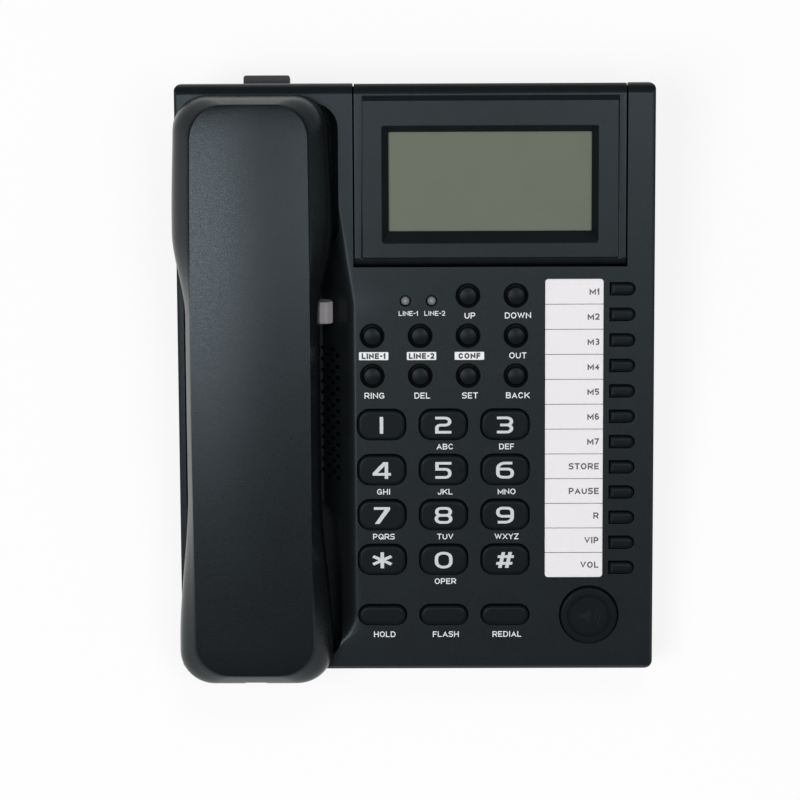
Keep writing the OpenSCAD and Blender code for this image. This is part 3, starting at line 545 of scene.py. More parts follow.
def cut_away(obj, cutters):
    """Takes closed meshes out of a piece for good."""
    cutters.transform(FACE)
    tool = mesh_object("cutter", cutters)
    cut = obj.modifiers.new("cut", "BOOLEAN")
    cut.object = tool
    cut.solver = "EXACT"
    obj.modifiers.move(len(obj.modifiers) - 1, 0)
    bpy.context.view_layer.update()
    graph = bpy.context.evaluated_depsgraph_get()
    names = [modifier.name for modifier in obj.modifiers if modifier.name != "cut"]
    for name in names:
        obj.modifiers[name].show_viewport = False
    graph.update()
    mesh = bpy.data.meshes.new_from_object(obj.evaluated_get(graph))
    for name in names:
        obj.modifiers[name].show_viewport = True
    obj.modifiers.remove(cut)
    obj.data = mesh
    bpy.data.objects.remove(tool)


def handset_back():
    bm = bmesh.new()
    outer = [back_ring(0, 0, SEAM)] + [back_ring(share, blend) for share, blend in chaikin(BACK_SIDE, 3)]
    inner = [back_ring(share, blend, SHELL) for share, blend in ((1, 1), (0.55, 0.2), (0, 0))]
    rows = loft(bm, inner + outer, caps=False)
    cross_cap(bm, rows[0], 0, flip=True)
    cross_cap(bm, rows[-1], CROWN * BACK_H, flip=False)
    clean(bm)
    obj = piece("handset_back_shell", bm, "handset", [HANDSET], ["handset_back"])
    low, high = extents("handset_socket")
    middle = (HANDSET_X, (low.z + high.z) / 2)
    size = (high.x - low.x - 2 * SOCKET_RIM, high.z - low.z - 2 * SOCKET_RIM)
    mouth = corner_ring(size, [SOCKET_R] * 4, 0, 0, middle)
    cutter = bmesh.new()
    loft(cutter, [[Vector((p.x, v, p.y)) for p in mouth] for v in (HS_V0 - SHELL, low.y + 0.5)])
    bmesh.ops.recalc_face_normals(cutter, faces=cutter.faces)
    cut_away(obj, cutter)


def handset_cups():
    bm = bmesh.new()
    edge = [(2 - 1.7 * math.cos(a), 2 - 2 * math.sin(a)) for a in angles(0, 90, 6)]
    outer = [lip_ring(SEAM, 0), lip_ring(0.05, 0.2), lip_ring(0.1, 0.6), lip_ring(0.6, 1),
             cup_ring(0, lambda v: PARTING - 2.6), cup_ring(0.05, lambda v: PARTING - 3)]
    outer += [cup_ring(inset, lambda v, rise=rise: PARTING - cup_at(v) + rise) for inset, rise in edge]
    inner = [cup_ring(SHELL + 1, lambda v: PARTING - cup_at(v) + SHELL),
             cup_ring(SHELL, lambda v: PARTING - 1.2), lip_ring(SHELL + 0.6, 0.3), lip_ring(SHELL, 0)]
    rows = loft(bm, inner + outer, caps=False)
    cross_cap(bm, rows[0], 0, flip=False)
    cross_cap(bm, rows[-1], 0, flip=True)
    clean(bm)
    obj = piece("handset_cup_shell", bm, "handset", [HANDSET], ["handset_cups"])
    ear_mid = (EAR_NECK + NECK + HS_V1 - CUP_REAR_IN) / 2
    mouth_mid = (HS_V0 + CUP_FRONT_IN + MOUTH_NECK - NECK) / 2
    holes = [(HANDSET_X + HOLE_RING * math.cos(a), ear_mid + HOLE_RING * math.sin(a))
             for a in angles(0, 300, 5)]
    cutter = bmesh.new()
    for hole in holes + [(HANDSET_X, mouth_mid)]:
        turned(cutter, hole, [(HOLE_R, PARTING - CUP_D - 1), (HOLE_R, PARTING - CUP_D + 3)], steps=6)
    clean(cutter)
    cut_away(obj, cutter)


handset_back()
handset_cups()


# Lettering

LAYER = 0.004


class Print:
    """Thin raised lettering and lines gathered into one mesh, in millimetres on the face."""

    THICK = 0.03

    def __init__(self):
        self.bm = bmesh.new()

    def solid(self, faces, index):
        """Gives flat faces their thickness."""
        for face in faces:
            face.material_index = index
        grown = bmesh.ops.extrude_face_region(self.bm, geom=faces)
        top = [item for item in grown["geom"] if isinstance(item, bmesh.types.BMVert)]
        bmesh.ops.translate(self.bm, verts=top, vec=(0, 0, self.THICK))
        for item in grown["geom"]:
            if isinstance(item, bmesh.types.BMFace):
                item.material_index = index

    def fill(self, loops, w):
        """Flat shape inside the first loop and outside the others."""
        edges = []
        for points in loops:
            verts = [self.bm.verts.new((x, v, w)) for x, v in points]
            edges += [self.bm.edges.new((a, b)) for a, b in zip(verts, verts[1:] + verts[:1])]
        done = bmesh.ops.triangle_fill(self.bm, use_beauty=True, edges=edges)
        self.solid([item for item in done["geom"] if isinstance(item, bmesh.types.BMFace)], 0)

    def box(self, x0, x1, v0, v1, w, radius=0.0):
        loop = [(x0, v0), (x1, v0), (x1, v1), (x0, v1)]
        if radius:
            middle = ((x0 + x1) / 2, (v0 + v1) / 2)
            ring = corner_ring((x1 - x0, v1 - v0), [radius] * 4, 0, 0, middle, steps=4)
            loop = [(spot.x, spot.y) for spot in ring]
        self.fill([loop], w)

    def stroke(self, line, thick, w, closed=False, index=0):
        """Band of even thickness along a line."""
        count = len(line)
        left, right = [], []
        for i, point in enumerate(line):
            before = line[i - 1] if i or closed else point
            after = line[(i + 1) % count] if i < count - 1 or closed else point
            into, out = (point - before), (after - point)
            into = into.normalized() if into.length else out.normalized()
            out = out.normalized() if out.length else into
            along = (into + out).normalized()
            reach = thick / 2 / max(along.dot(out), 0.3)
            side = Vector((-along.y, along.x)) * reach
            left.append(self.bm.verts.new((*(point + side), w)))
            right.append(self.bm.verts.new((*(point - side), w)))
        faces = []
        for i in range(count if closed else count - 1):
            j = (i + 1) % count
            faces.append(self.bm.faces.new((right[i], right[j], left[j], left[i])))
        self.solid(faces, index)


def rounded(points, radii, closed=False, steps=7):
    """Line through points whose corners are arcs of the given radii."""
    points = [Vector(point) for point in points]
    line = []
    for i, point in enumerate(points):
        ends = not closed and i in (0, len(points) - 1)
        if ends or not radii[i]:
            line.append(point)
            continue
        back = (points[i - 1] - point).normalized()
        ahead = (points[(i + 1) % len(points)] - point).normalized()
        half = back.angle(ahead) / 2
        reach = radii[i] / math.tan(half)
        centre = point + (back + ahead).normalized() * radii[i] / math.sin(half)
        first, last = point + back * reach - centre, point + ahead * reach - centre
        sweep = first.angle_signed(last)
        for k in range(steps + 1):
            spot = first.copy()
            spot.rotate(Matrix.Rotation(-sweep * k / steps, 2))
            line.append(centre + spot)
    return line


# Number legends: wide square signs drawn as bands, in a box GLYPH_W by GLYPH_H that is stretched sideways

GLYPH_W, GLYPH_H = 4.5, 6.15
BAND = 0.96
STRETCH = 1.3
WIDE = 1.1
HX, HY = (GLYPH_W - BAND) / 2, (GLYPH_H - BAND) / 2
EX, EY = GLYPH_W / 2, GLYPH_H / 2
WX = (WIDE * GLYPH_W - BAND) / 2


def glyph(sign):
    """Bands, closed loops and filled shapes of one sign, as (kind, points, radii)."""
    bowl = 1.25
    if sign == "1":
        return [("band", [(0, -EY), (0, EY)], [0, 0])]
    if sign == "2":
        return [("band", [(-EX, HY), (HX, HY), (HX, 0), (-HX, 0), (-HX, -HY), (EX, -HY)],
                 [0, bowl, bowl, 1, 0, 0])]
    if sign == "3":
        return [("band", [(-EX, HY), (HX, HY), (HX, 0), (-0.6 * EX, 0)], [0, bowl, bowl, 0]),
                ("band", [(-0.6 * EX, 0), (HX, 0), (HX, -HY), (-EX, -HY)], [0, bowl, bowl, 0])]
    if sign == "4":
        reach, stem, bar, half = 1.13 * EX, 1.3, -1.4, BAND / 2
        outer = [(stem + half, EY), (stem - 0.9, EY), (-reach, bar + half), (-reach, bar - half),
                 (stem - half, bar - half), (stem - half, -EY), (stem + half, -EY), (stem + half, bar - half),
                 (reach, bar - half), (reach, bar + half), (stem + half, bar + half)]
        hole = [(stem - half, bar + half), (stem - half, 1.7), (-1.1, bar + half)]
        return [("fill", [outer, hole], None)]
    if sign == "5":
        return [("band", [(EX, HY), (-HX, HY), (-HX, 0.4), (HX, 0.4), (HX, -HY), (-EX, -HY)],
                 [0, 0, 0, bowl, bowl, 0])]
    if sign in "69":
        side = 1 if sign == "6" else -1
        line = [(0.9 * EX, HY), (-WX, HY), (-WX, -HY), (WX, -HY), (WX, 0.4), (-WX + BAND / 2, 0.4)]
        return [("band", [(side * x, side * v) for x, v in line], [0, 1.9, 1.4, bowl, bowl, 0])]
    if sign == "7":
        return [("fill", [[(-EX, EY), (EX, EY), (EX, EY - BAND), (-0.7, -EY), (-2.0, -EY), (0.75, EY - BAND),
                           (-EX, EY - BAND)]], None)]
    if sign == "8":
        return [("loop", [(-x, low), (x, low), (x, high), (-x, high)], [bowl] * 4)
                for x, low, high in ((WX, -HY, 0), (0.95 * WX, 0, HY))]
    if sign == "0":
        return [("loop", [(-WX, -HY), (WX, -HY), (WX, HY), (-WX, HY)], [1.85] * 4)]
    if sign == "*":
        half, long = 0.5, EY * 0.96
        star = []
        for k in range(6):
            turn = Matrix.Rotation(math.radians(60 * k), 2)
            star += [turn @ Vector(spot) for spot in ((half, long), (-half, long))]
            star.append(Matrix.Rotation(math.radians(60 * k + 30), 2) @ Vector((0, 2 * half)))
        return [("fill", [[tuple(spot) for spot in star]], None)]
    return []


def draw_sign(ink, sign, middle, w):
    """Draws one number legend about middle, stretched sideways."""
    start = set(ink.bm.verts)
    for k, (kind, points, radii) in enumerate(glyph(sign)):
        if kind == "fill":
            ink.fill(points, w)
        else:
            ink.stroke(rounded(points, radii, kind == "loop"), BAND, w + k * LAYER, kind == "loop")
    if sign == "#":
        draw_hash(ink, w)
    fresh = [vert for vert in ink.bm.verts if vert not in start]
    for vert in fresh:
        vert.co.x = vert.co.x * STRETCH + middle[0]
        vert.co.y += middle[1]


def draw_hash(ink, w):
    """Two upright and two level bars on one grid, leaning a little to the right."""
    xs = [-EX, -1.45, -0.45, 0.45, 1.45, EX]
    vs = [-EY * 0.95, -1.75, -0.75, 0.75, 1.75, EY * 0.95]
    verts = [[ink.bm.verts.new((x + 0.17 * v, v, w)) for x in xs] for v in vs]
    bars = (1, 3)
    faces = []
    for i in range(5):
        for j in range(5):
            if i in bars or j in bars:
                corners = (verts[i][j], verts[i][j + 1], verts[i + 1][j + 1], verts[i + 1][j])
                faces.append(ink.bm.faces.new(corners))
    loose = [vert for row in verts for vert in row if not vert.link_faces]
    bmesh.ops.delete(ink.bm, geom=loose, context="VERTS")
    ink.solid(faces, 0)


# Word legends: capitals drawn as bands in a box one high. A letter's width is a share of its height.

LETTER_GAP = 0.17


def arc(start, end, steps=14):
    """Part of the oval that fills a letter's box, between two angles in degrees."""
    return [(0.5 + 0.5 * math.cos(a), 0.5 + 0.5 * math.sin(a)) for a in angles(start, end, steps)]


WIDTHS = {"A": 0.88, "B": 0.8, "C": 0.84, "D": 0.82, "E": 0.72, "F": 0.68, "G": 0.88, "H": 0.82, "I": 0.22,
          "J": 0.64, "K": 0.86, "L": 0.68, "M": 0.98, "N": 0.84, "O": 0.9, "P": 0.76, "Q": 0.9, "R": 0.82,
          "S": 0.76, "T": 0.76, "U": 0.82, "V": 0.86, "W": 1.2, "X": 0.84, "Y": 0.82, "Z": 0.74, "1": 0.4,
          "-": 0.4}
DIGIT_WIDTH = 0.66
STEM = [(0, 0), (0, 1)]
STRAIGHT = {
    "A": [[(0, 0), (0.5, 1), (1, 0)], [(0.2, 0.3), (0.8, 0.3)]],
    "B": [STEM],
    "D": [STEM],
    "E": [[(1, 1), (0, 1), (0, 0), (1, 0)], [(0, 0.5), (0.85, 0.5)]],
    "F": [[(1, 1), (0, 1), (0, 0)], [(0, 0.48), (0.85, 0.48)]],
    "C": [arc(42, 318)],
    "G": [arc(44, 300) + [(0.96, 0.12), (0.96, 0.44)], [(0.96, 0.44), (0.58, 0.44)]],
    "H": [STEM, [(1, 0), (1, 1)], [(0, 0.5), (1, 0.5)]],
    "I": [[(0.5, 0), (0.5, 1)]],
    "K": [STEM, [(1, 1), (0.1, 0.4)], [(0.35, 0.57), (1, 0)]],
    "L": [[(0, 1), (0, 0), (1, 0)]],
    "M": [[(0, 0), (0, 1), (0.5, 0.22), (1, 1), (1, 0)]],
    "N": [[(0, 0), (0, 1), (1, 0), (1, 1)]],
    "P": [STEM],
    "Q": [[(0.55, 0.33), (1.08, 0)]],
    "R": [STEM, [(0.5, 0.42), (1, 0)]],
    "T": [[(0, 1), (1, 1)], [(0.5, 0), (0.5, 1)]],
    "V": [[(0, 1), (0.5, 0), (1, 1)]],
    "W": [[(0, 1), (0.25, 0), (0.5, 1), (0.75, 0), (1, 1)]],
    "X": [[(0, 0), (1, 1)], [(0, 1), (1, 0)]],
    "Y": [[(0, 1), (0.5, 0.45), (1, 1)], [(0.5, 0.45), (0.5, 0)]],
    "Z": [[(0, 1), (1, 1), (0, 0), (1, 0)]],
    "1": [[(0.75, 0), (0.75, 1)], [(0, 0.74), (0.75, 0.96)]],
    "2": [[(0, 0), (1, 0)]],
    "4": [[(0.72, 0), (0.72, 1), (0, 0.3), (1, 0.3)]],
    "5": [[(0.95, 1), (0, 1), (0, 0.55)]],
    "7": [[(0, 1), (1, 1), (0.3, 0)]],
    "-": [[(0, 0.5), (1, 0.5)]],
}
CURVED = {
    "B": [[(0, 1), (0.95, 1), (0.95, 0.53), (0, 0.53)], [(0, 0.53), (1, 0.53), (1, 0), (0, 0)]],
    "D": [[(0, 1), (1, 1), (1, 0), (0, 0)]],
    "J": [[(1, 1), (1, 0), (0, 0), (0, 0.3)]],
    "P": [[(0, 1), (1, 1), (1, 0.42), (0, 0.42)]],
    "R": [[(0, 1), (1, 1), (1, 0.42), (0, 0.42)]],
    "S": [[(0.98, 0.84), (0.98, 1), (0, 1), (0, 0.52), (1, 0.52), (1, 0), (0, 0), (0, 0.16)]],
    "U": [[(0, 1), (0, 0), (1, 0), (1, 1)]],
    "2": [[(0, 0.74), (0, 1), (1, 1), (1, 0.52), (0, 0)]],
    "3": [[(0, 1), (1, 1), (1, 0.52), (0.25, 0.52)], [(0.25, 0.52), (1, 0.52), (1, 0), (0, 0)]],
    "5": [[(0, 0.58), (1, 0.58), (1, 0), (0, 0)]],
    "6": [[(0.95, 1), (0, 1), (0, 0), (1, 0), (1, 0.56), (0, 0.56)]],
}
CLOSED = {letter: [arc(0, 345, 23)] for letter in "OQ"}


def soft(points):
    """Line whose corners are as round as their sides allow."""
    count = len(points)
    lengths = [(points[(i + 1) % count] - points[i]).length for i in range(count)]
    return rounded(points, [0.5 * min(lengths[i - 1], lengths[i]) for i in range(count)])


def write(ink, text, middle, w, cap, weight, align=0.5, index=0):
    """Draws a word whose share align of its width lies left of middle, with capitals cap high."""
    thick = weight * cap
    gap = LETTER_GAP * cap
    widths = [WIDTHS.get(letter, DIGIT_WIDTH) * cap for letter in text]
    left = middle[0] - align * (sum(widths) + gap * (len(text) - 1))
    low, high = middle[1] - cap / 2, middle[1] + cap / 2
    start = set(ink.bm.verts)
    for letter, width in zip(text, widths):
        def placed(line, left=left, width=width):
            return [Vector((left + thick / 2 + x * (width - thick), low + thick / 2 + v * (cap - thick)))
                    for x, v in line]
        lines = [long_ends(placed(line), thick / 2) for line in STRAIGHT.get(letter, [])]
        lines += [soft(placed(line)) for line in CURVED.get(letter, [])]
        for k, line in enumerate(lines):
            ink.stroke(line, thick, w + k * LAYER, index=index)
        for line in CLOSED.get(letter, []):
            ink.stroke(placed(line), thick, w + len(lines) * LAYER, closed=True, index=index)
        left += width + gap
    for vert in ink.bm.verts:
        if vert not in start:
            vert.co.y = min(max(vert.co.y, low), high)


def long_ends(line, reach):
    """Line drawn out past both of its ends."""
    first = line[0] + (line[0] - line[1]).normalized() * reach
    last = line[-1] + (line[-1] - line[-2]).normalized() * reach
    return [first] + line[1:-1] + [last]


# Keys

DIGIT_R, FUNCTION_R = [4.2] * 4, [3.45] * 4
MEMORY_R = [1.95, 1.95, 0.5, 0.5]
FLANGE_OUT = 1.3
FLANGE_T = 1.0
KEY_GAP = 0.01
PIP_OUT, PIP_R, PIP_H = 6.6, 0.5, 0.35
RING_OUT = 1.45
RING_LOW, RING_HIGH = -4, -0.05
TAB_ROOT = 0.2


def key_box(node):
    """Middle, cap size and heights of a key, from its CAD solid."""
    low, high = extents(node)
    middle, size = plan(low, high)
    return middle, [side - 2 * FLANGE_OUT for side in size], low.z, high.z


def key_r(node):
    return key_box(node)[1][0] / 2


def key_cap(node, radii, top_profile, steps=8):
    """Key on its flange: upright sides, then the profile of (grow, w) that closes its top."""
    middle, size, low, high = key_box(node)
    profile = [(FLANGE_OUT, low), (FLANGE_OUT, low + FLANGE_T), (0, low + FLANGE_T)] + top_profile(high)
    bm = bmesh.new()
    loft(bm, [corner_ring(size, radii, grow, w, middle, steps) for grow, w in profile])
    clean(bm)
    return bm, middle, high


def join(bm, ink):
    """Adds a sign to a key's mesh as its second material."""
    for face in ink.bm.faces:
        face.material_index = 1
    bmesh.ops.recalc_face_normals(ink.bm, faces=ink.bm.faces)
    mesh = bpy.data.meshes.new("sign")
    ink.bm.to_mesh(mesh)
    ink.bm.free()
    bm.from_mesh(mesh)
    bpy.data.meshes.remove(mesh)


def add_pip(bm, middle, w):
    """Small raised dot beside a legend, to find the key by touch."""
    spot = (middle[0] + PIP_OUT, middle[1])
    loft(bm, [corner_ring((0, 0), [0] * 4, PIP_R * math.cos(a), w - 0.05 + PIP_H * math.sin(a), spot, 3)
              for a in angles(0, 80, 4)])


DIGITS = {f"key_{i}": str(i) for i in range(1, 10)}
DIGITS.update({"key_star": "*", "key_0": "0", "key_hash": "#"})
FUNCTIONS = ("key_hold", "key_flash", "key_redial")
ROUND = ("key_ring", "key_delete", "key_set", "key_back", "key_line_1", "key_line_2", "key_conference",
         "key_out", "key_up", "key_down")
MEMORY = [f"memory_key_{i}" for i in range(1, 8)]
MEMORY += ["store_key", "pause_key", "recall_key", "vip_key", "volume_key"]


def pillow(run, drop):
    """Top whose edge falls away by drop over the last run of its width, with the middle flat."""
    return lambda high: fillet(high, run, drop, 6) + [(-run - 0.5, high)]


def dome_top(radius):
    """Top of a round key: a round shoulder and a shallow dome."""
    def profile(high):
        ball, shoulder = 4.2 * radius, 0.4
        inner = radius - shoulder
        edge = high - ball + math.sqrt(ball ** 2 - inner ** 2)
        spots = [inner * (1 - i / 6) for i in range(6)]
        dome = [(r - radius, high - ball + math.sqrt(ball ** 2 - r ** 2)) for r in spots]
        return fillet(edge, shoulder, shoulder, 6)[:-1] + dome
    return profile


for name, sign in DIGITS.items():
    bm, middle, high = key_cap(name, DIGIT_R, pillow(1.0, 0.7))
    legend = Print()
    draw_sign(legend, sign, middle, high + KEY_GAP)
    join(bm, legend)
    if name == "key_5":
        add_pip(bm, middle, high + KEY_GAP)
    piece(name + "_cap", bm, name, [KEY, INK], [name])

plain = [(name, FUNCTION_R, pillow(1.2, 0.8), 8) for name in FUNCTIONS]
plain += [(name, [key_r(name)] * 4, dome_top(key_r(name)), 10) for name in ROUND]
plain += [(name, MEMORY_R, pillow(1.3, 0.6), 8) for name in MEMORY]
for name, radii, top, steps in plain:
    piece(name + "_cap", key_cap(name, radii, top, steps)[0], name, [KEY], [name])


def paint_recess_shade():
    """Gives the sunk rings of the case round the round keys a near-black matt finish: painted shade of the
    deep gaps round the keys.
    """
    mesh = NODES["top_cover"].data
    mesh.materials.append(RECESS_SHADE)
    back = FACE.inverted()
    rings = [(Vector(key_box(name)[0]), key_r(name) + RING_OUT) for name in ROUND]
    for polygon in mesh.polygons:
        spot = back @ polygon.center
        # Faces in these rings get the near-black painted shade.
        sunk = RING_LOW < spot.z < RING_HIGH
        if sunk and any((spot.xy - middle).length < reach for middle, reach in rings):
            polygon.material_index = 1


def rear_tab():
    """Gives the tab behind the rear wall a lighter grey than the rest of the case."""
    mesh = NODES["top_cover"].data
    mesh.materials.append(TAB)
    wall = max(vert.co.y for vert in NODES["bottom_cover"].data.vertices)
    for polygon in mesh.polygons:
        if polygon.center.y > wall + TAB_ROOT * MM:
            polygon.material_index = 2


def speaker_key():
    """Large round key with an engraved ring and a raised loudspeaker sign."""
    radius = key_r("speaker_key")

    def profile(high):
        ring_r, half, deep = 7.4, 0.5, 0.35
        groove = [(ring_r + half, 0), (ring_r + 0.5 * half, -deep), (ring_r - 0.5 * half, -deep),
                  (ring_r - half, 0)]
        return fillet(high, 0.8, 0.8, 6) + [(r - radius, high + w) for r, w in groove] + [(2 - radius, high)]
    bm, (x, v), high = key_cap("speaker_key", [radius] * 4, profile, steps=16)
    root = high - 0.02
    ink = Print()
    ink.THICK = 0.3
    horn = [(-3.2, -1.1), (-1.6, -1.1), (0.6, -2.9), (0.6, 2.9), (-1.6, 1.1), (-3.2, 1.1)]
    ink.fill([[(x + a, v + b) for a, b in horn]], root)
    for reach in (2.2, 3.7):
        wave = [Vector((x + 0.4 + reach * math.cos(a), v + reach * math.sin(a))) for a in angles(-48, 48, 12)]
        ink.stroke(wave, 0.6, root)
    join(bm, ink)
    piece("speaker_key_cap", bm, "speaker_key", [KEY, SIGN], ["speaker_key"])


paint_recess_shade()
rear_tab()
speaker_key()


# Rubber mat: the sheet, and a dome under each key

DOME_H = 2.2
DOME_SIDE = [(1, 0), (1, 0.25), (0.8, 0.7 * DOME_H), (0.76, DOME_H - 0.15), (0.68, DOME_H)]
DOME_R = {"speaker_key": 6}
for names, radius in ((DIGITS, 4), (FUNCTIONS, 3), (ROUND, 1.9), (MEMORY, 1.9)):
    DOME_R.update({name: radius for name in names})


def keypad_sheet(level):
    """CAD mat with its domes pressed flat into the sheet."""
    bm = bmesh.new()
    bm.from_mesh(NODES["keypad_mat"].data)
    bm.transform(FACE.inverted())
    for vert in bm.verts:
        vert.co.z = min(vert.co.z, level)
    clean(bm)
    piece("keypad_sheet", bm, "base", [MAT], ["keypad_mat"])


def rubber_dome(name, radius, level):
    """Thin cone with a button on top."""
    middle = key_box(name)[0]
    bm = bmesh.new()
    turned(bm, middle, [(radius * r, level + w) for r, w in DOME_SIDE], steps=6)
    clean(bm)
    dome = piece(name + "_dome", bm, "base", [MAT])
    foot = FACE @ Vector((*middle, level))
    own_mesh(dome)


MAT_LEVEL = extents("keypad_mat")[1].z - DOME_H
keypad_sheet(MAT_LEVEL)
for name, radius in DOME_R.items():
    rubber_dome(name, radius, MAT_LEVEL)


# Legends on the face, each placed from its key

LETTERS = {"key_2": "ABC", "key_3": "DEF", "key_4": "GHI", "key_5": "JKL", "key_6": "MNO", "key_7": "PQRS",
           "key_8": "TUV", "key_9": "WXYZ", "key_0": "OPER"}
WORDS = {"key_hold": "HOLD", "key_flash": "FLASH", "key_redial": "REDIAL"}
ROUND_WORDS = {"key_ring": "RING", "key_delete": "DEL", "key_set": "SET", "key_back": "BACK",
               "key_out": "OUT", "key_up": "UP", "key_down": "DOWN"}
BOXED = {"key_line_1": "LINE-1", "key_line_2": "LINE-2", "key_conference": "CONF"}
LEGENDS = ((LETTERS, 0.6, -8.2, 2.1), (WORDS, 0.7, -7.4, 2.1), (ROUND_WORDS, 0.7, -7.25, 2.2))
FINE, BOLD = 0.155, 0.26
LAMP_CAP, LAMP_WEIGHT = 1.7, 0.15


def face_legends():
    ink = Print()
    for words, right, up, cap in LEGENDS:
        for name, word in words.items():
            x, v = key_box(name)[0]
            write(ink, word, (x + right, v + up), KEY_GAP, cap, FINE)
    for name, word in BOXED.items():
        x, v = key_box(name)[0]
        ink.box(x - 4.8, x + 5.8, v - 8.8, v - 5.9, KEY_GAP, radius=0.3)
        write(ink, word, (x + 0.5, v - 7.35), KEY_GAP + Print.THICK, 2.1, BOLD, index=1)
    low, high = extents("line_lamps")
    lamp_v = (low.y + high.y) / 2
    for x, word in ((low.x, "LINE-1"), (high.x - 3.2, "LINE-2")):
        write(ink, word, (x + 2.7, lamp_v - 4.5), KEY_GAP, LAMP_CAP, LAMP_WEIGHT)
    clean(ink.bm)
    piece("face_legends", ink.bm, "base", [LABEL_INK, DARK_INK])


face_legends()


# Label card under its clear cover, and the display's glass

ROW_WORDS = ["M1", "M2", "M3", "M4", "M5", "M6", "M7", "STORE", "PAUSE", "R", "VIP", "VOL"]
ROW_CAP, ROW_WEIGHT = 2.35, 0.215
RULE_HALF = 0.12


def card_print():
    low, high = extents("label_card")
    pitch = (high.y - low.y) / len(ROW_WORDS)
    ink = Print()
    ink.THICK = 0.02
    for i, word in enumerate(ROW_WORDS):
        v = high.y - (i + 0.5) * pitch
        write(ink, word, (high.x - 1.4, v), high.z, ROW_CAP, ROW_WEIGHT, align=1)
        if i:
            ink.box(low.x, high.x, v + pitch / 2 - RULE_HALF, v + pitch / 2 + RULE_HALF, high.z)
    clean(ink.bm)
    piece("card_print", ink.bm, "base", [DARK_INK])


def plate(name, node, body, material, radius, profile, steps=6):
    """Plate in a CAD node's place. profile gives (grow, w) from the node's lowest and highest w."""
    low, high = extents(node)
    middle, size = plan(low, high)
    bm = bmesh.new()
    loft(bm, [corner_ring(size, [radius] * 4, grow, w, middle, steps) for grow, w in profile(low.z, high.z)])
    clean(bm)
    piece(name, bm, body, [material], [node])


def cover_side(low, high):
    return [(0, low + 0.05)] + fillet(high, 0.15, 0.15, 3)


def pane_side(low, high):
    return [(-0.2, low + 0.05), (0, low + 0.25)] + fillet(high - 0.02, 0.2, 0.2, 2)


def cell_side(low, high):
    return [(-0.1, low), (0, low + 0.1), (0, high - 0.5), (-0.1, high - 0.4), (-1.5, high - 0.4),
            (-1.5, high - 0.08), (-1.58, high)]


card_print()
plate("label_cover_sheet", "label_cover", "base", COVER, 1.2, cover_side)
plate("display_pane", "display_window", "display", PANE, 0.6, pane_side)
plate("lcd_cell", "lcd_panel", "display", LCD, 0.4, cell_side, steps=3)


# Line lamps

def line_lamps():
    low, high = extents("line_lamps")
    radius = (high.y - low.y) / 2
    dome = [(radius * math.cos(a), high.z - radius + radius * math.sin(a)) for a in angles(0, 84, 7)]
    bm = bmesh.new()
    for x in (low.x + radius, high.x - radius):
        turned(bm, (x, (low.y + high.y) / 2), [(radius, low.z)] + dome)
    clean(bm)
    piece("lamp_lenses", bm, "base", [LAMP], ["line_lamps"])


line_lamps()


# Underside

METRES = Matrix.Scale(MM, 4)


def solids_of(node):
    """Boxes of a CAD node's separate solids, in millimetres."""
    bm = bmesh.new()
    bm.from_mesh(NODES[node].data)
    bmesh.ops.remove_doubles(bm, verts=bm.verts, dist=WELD * MM)
    left = set(bm.verts)
    boxes = []
    while left:
        todo = [left.pop()]
        group = []
        while todo:
            vert = todo.pop()
            group.append(vert.co / MM)
            for edge in vert.link_edges:
                other = edge.other_vert(vert)
                if other in left:
                    left.remove(other)
                    todo.append(other)
        boxes.append(box_of(group))
    bm.free()
    return sorted(boxes, key=lambda box: tuple(box[0]))


def rubber_feet():
    bm = bmesh.new()
    for low, high in solids_of("rubber_feet"):
        middle, size = plan(low, high)
        radius = size[0] / 2
        profile = [(radius * 0.55, low.z + 0.25), (radius * 0.6, low.z), (radius - 0.5, low.z),
                   (radius - 0.15, low.z + 0.15), (radius, low.z + 0.5), (radius, high.z)]
        turned(bm, middle, profile)
    clean(bm)
    piece("foot_pads", bm, "base", [RUBBER], ["rubber_feet"], place=METRES)


def case_screws():
    """Screws with a cross recess in a domed head."""
    bm = bmesh.new()
    slots = [bmesh.new(), bmesh.new()]
    for low, high in solids_of("case_screws"):
        middle, size = plan(low, high)
        head = size[0] / 2
        shaft = 0.54 * head
        profile = [(head * 0.6, low.z), (head * 0.9, low.z + 0.3), (head, low.z + 0.8), (head, low.z + 1.8),
                   (shaft, low.z + 1.8), (shaft, high.z - 1), (shaft * 0.4, high.z)]
        turned(bm, middle, profile)
        for slot, size in zip(slots, ((2.6, 0.7), (0.7, 2.6))):
            loft(slot, [corner_ring(size, [0.1] * 4, grow, z, middle, 2)
                        for grow, z in ((0.2, low.z - 0.5), (-0.05, low.z + 1.1))])
    clean(bm)
    obj = piece("case_screw_set", bm, "base", [STEEL], ["case_screws"], place=METRES)
    for slot in slots:
        clean(slot)
        slot.transform(FACE.inverted() @ METRES)
        cut_away(obj, slot)


rubber_feet()
case_screws()


# Spring contacts in the sockets

SOCKET_WALL = 1.6
WIRES = 4
WIRE = [(-0.22, -0.15), (0.22, -0.15), (0.22, 0.15), (-0.22, 0.15)]


def contacts(name, body, places):
    """Row of bent gold wires along the roof of each socket opening. A place is the matrix that turns
    x across, y inwards from the mouth and z up to the frame's millimetres, then the width and height."""
    bm = bmesh.new()
    for matrix, width, height in places:
        for i in range(WIRES):
            x = (i - (WIRES - 1) / 2) * width / (WIRES + 1)
            line = [(9.5, height - 0.5), (3.0, height - 0.7), (2.3, height - 1.1), (8.2, height - 3.6)]
            loft(bm, [[matrix @ (Vector((x, y, z)) + Vector((a, 0, b))) for a, b in WIRE] for y, z in line])
    bmesh.ops.recalc_face_normals(bm, faces=bm.faces)
    piece(name, bm, body, [GOLD], place=METRES)


def place(x, y, turn, run, low, high):
    """Place of a socket opening whose mouth is at x and y, in a socket of width run."""
    matrix = Matrix.Translation((x, y, low.z + SOCKET_WALL)) @ Matrix.Rotation(turn, 4, "Z")
    return matrix, run - 2 * SOCKET_WALL, high.z - low.z - 2 * SOCKET_WALL


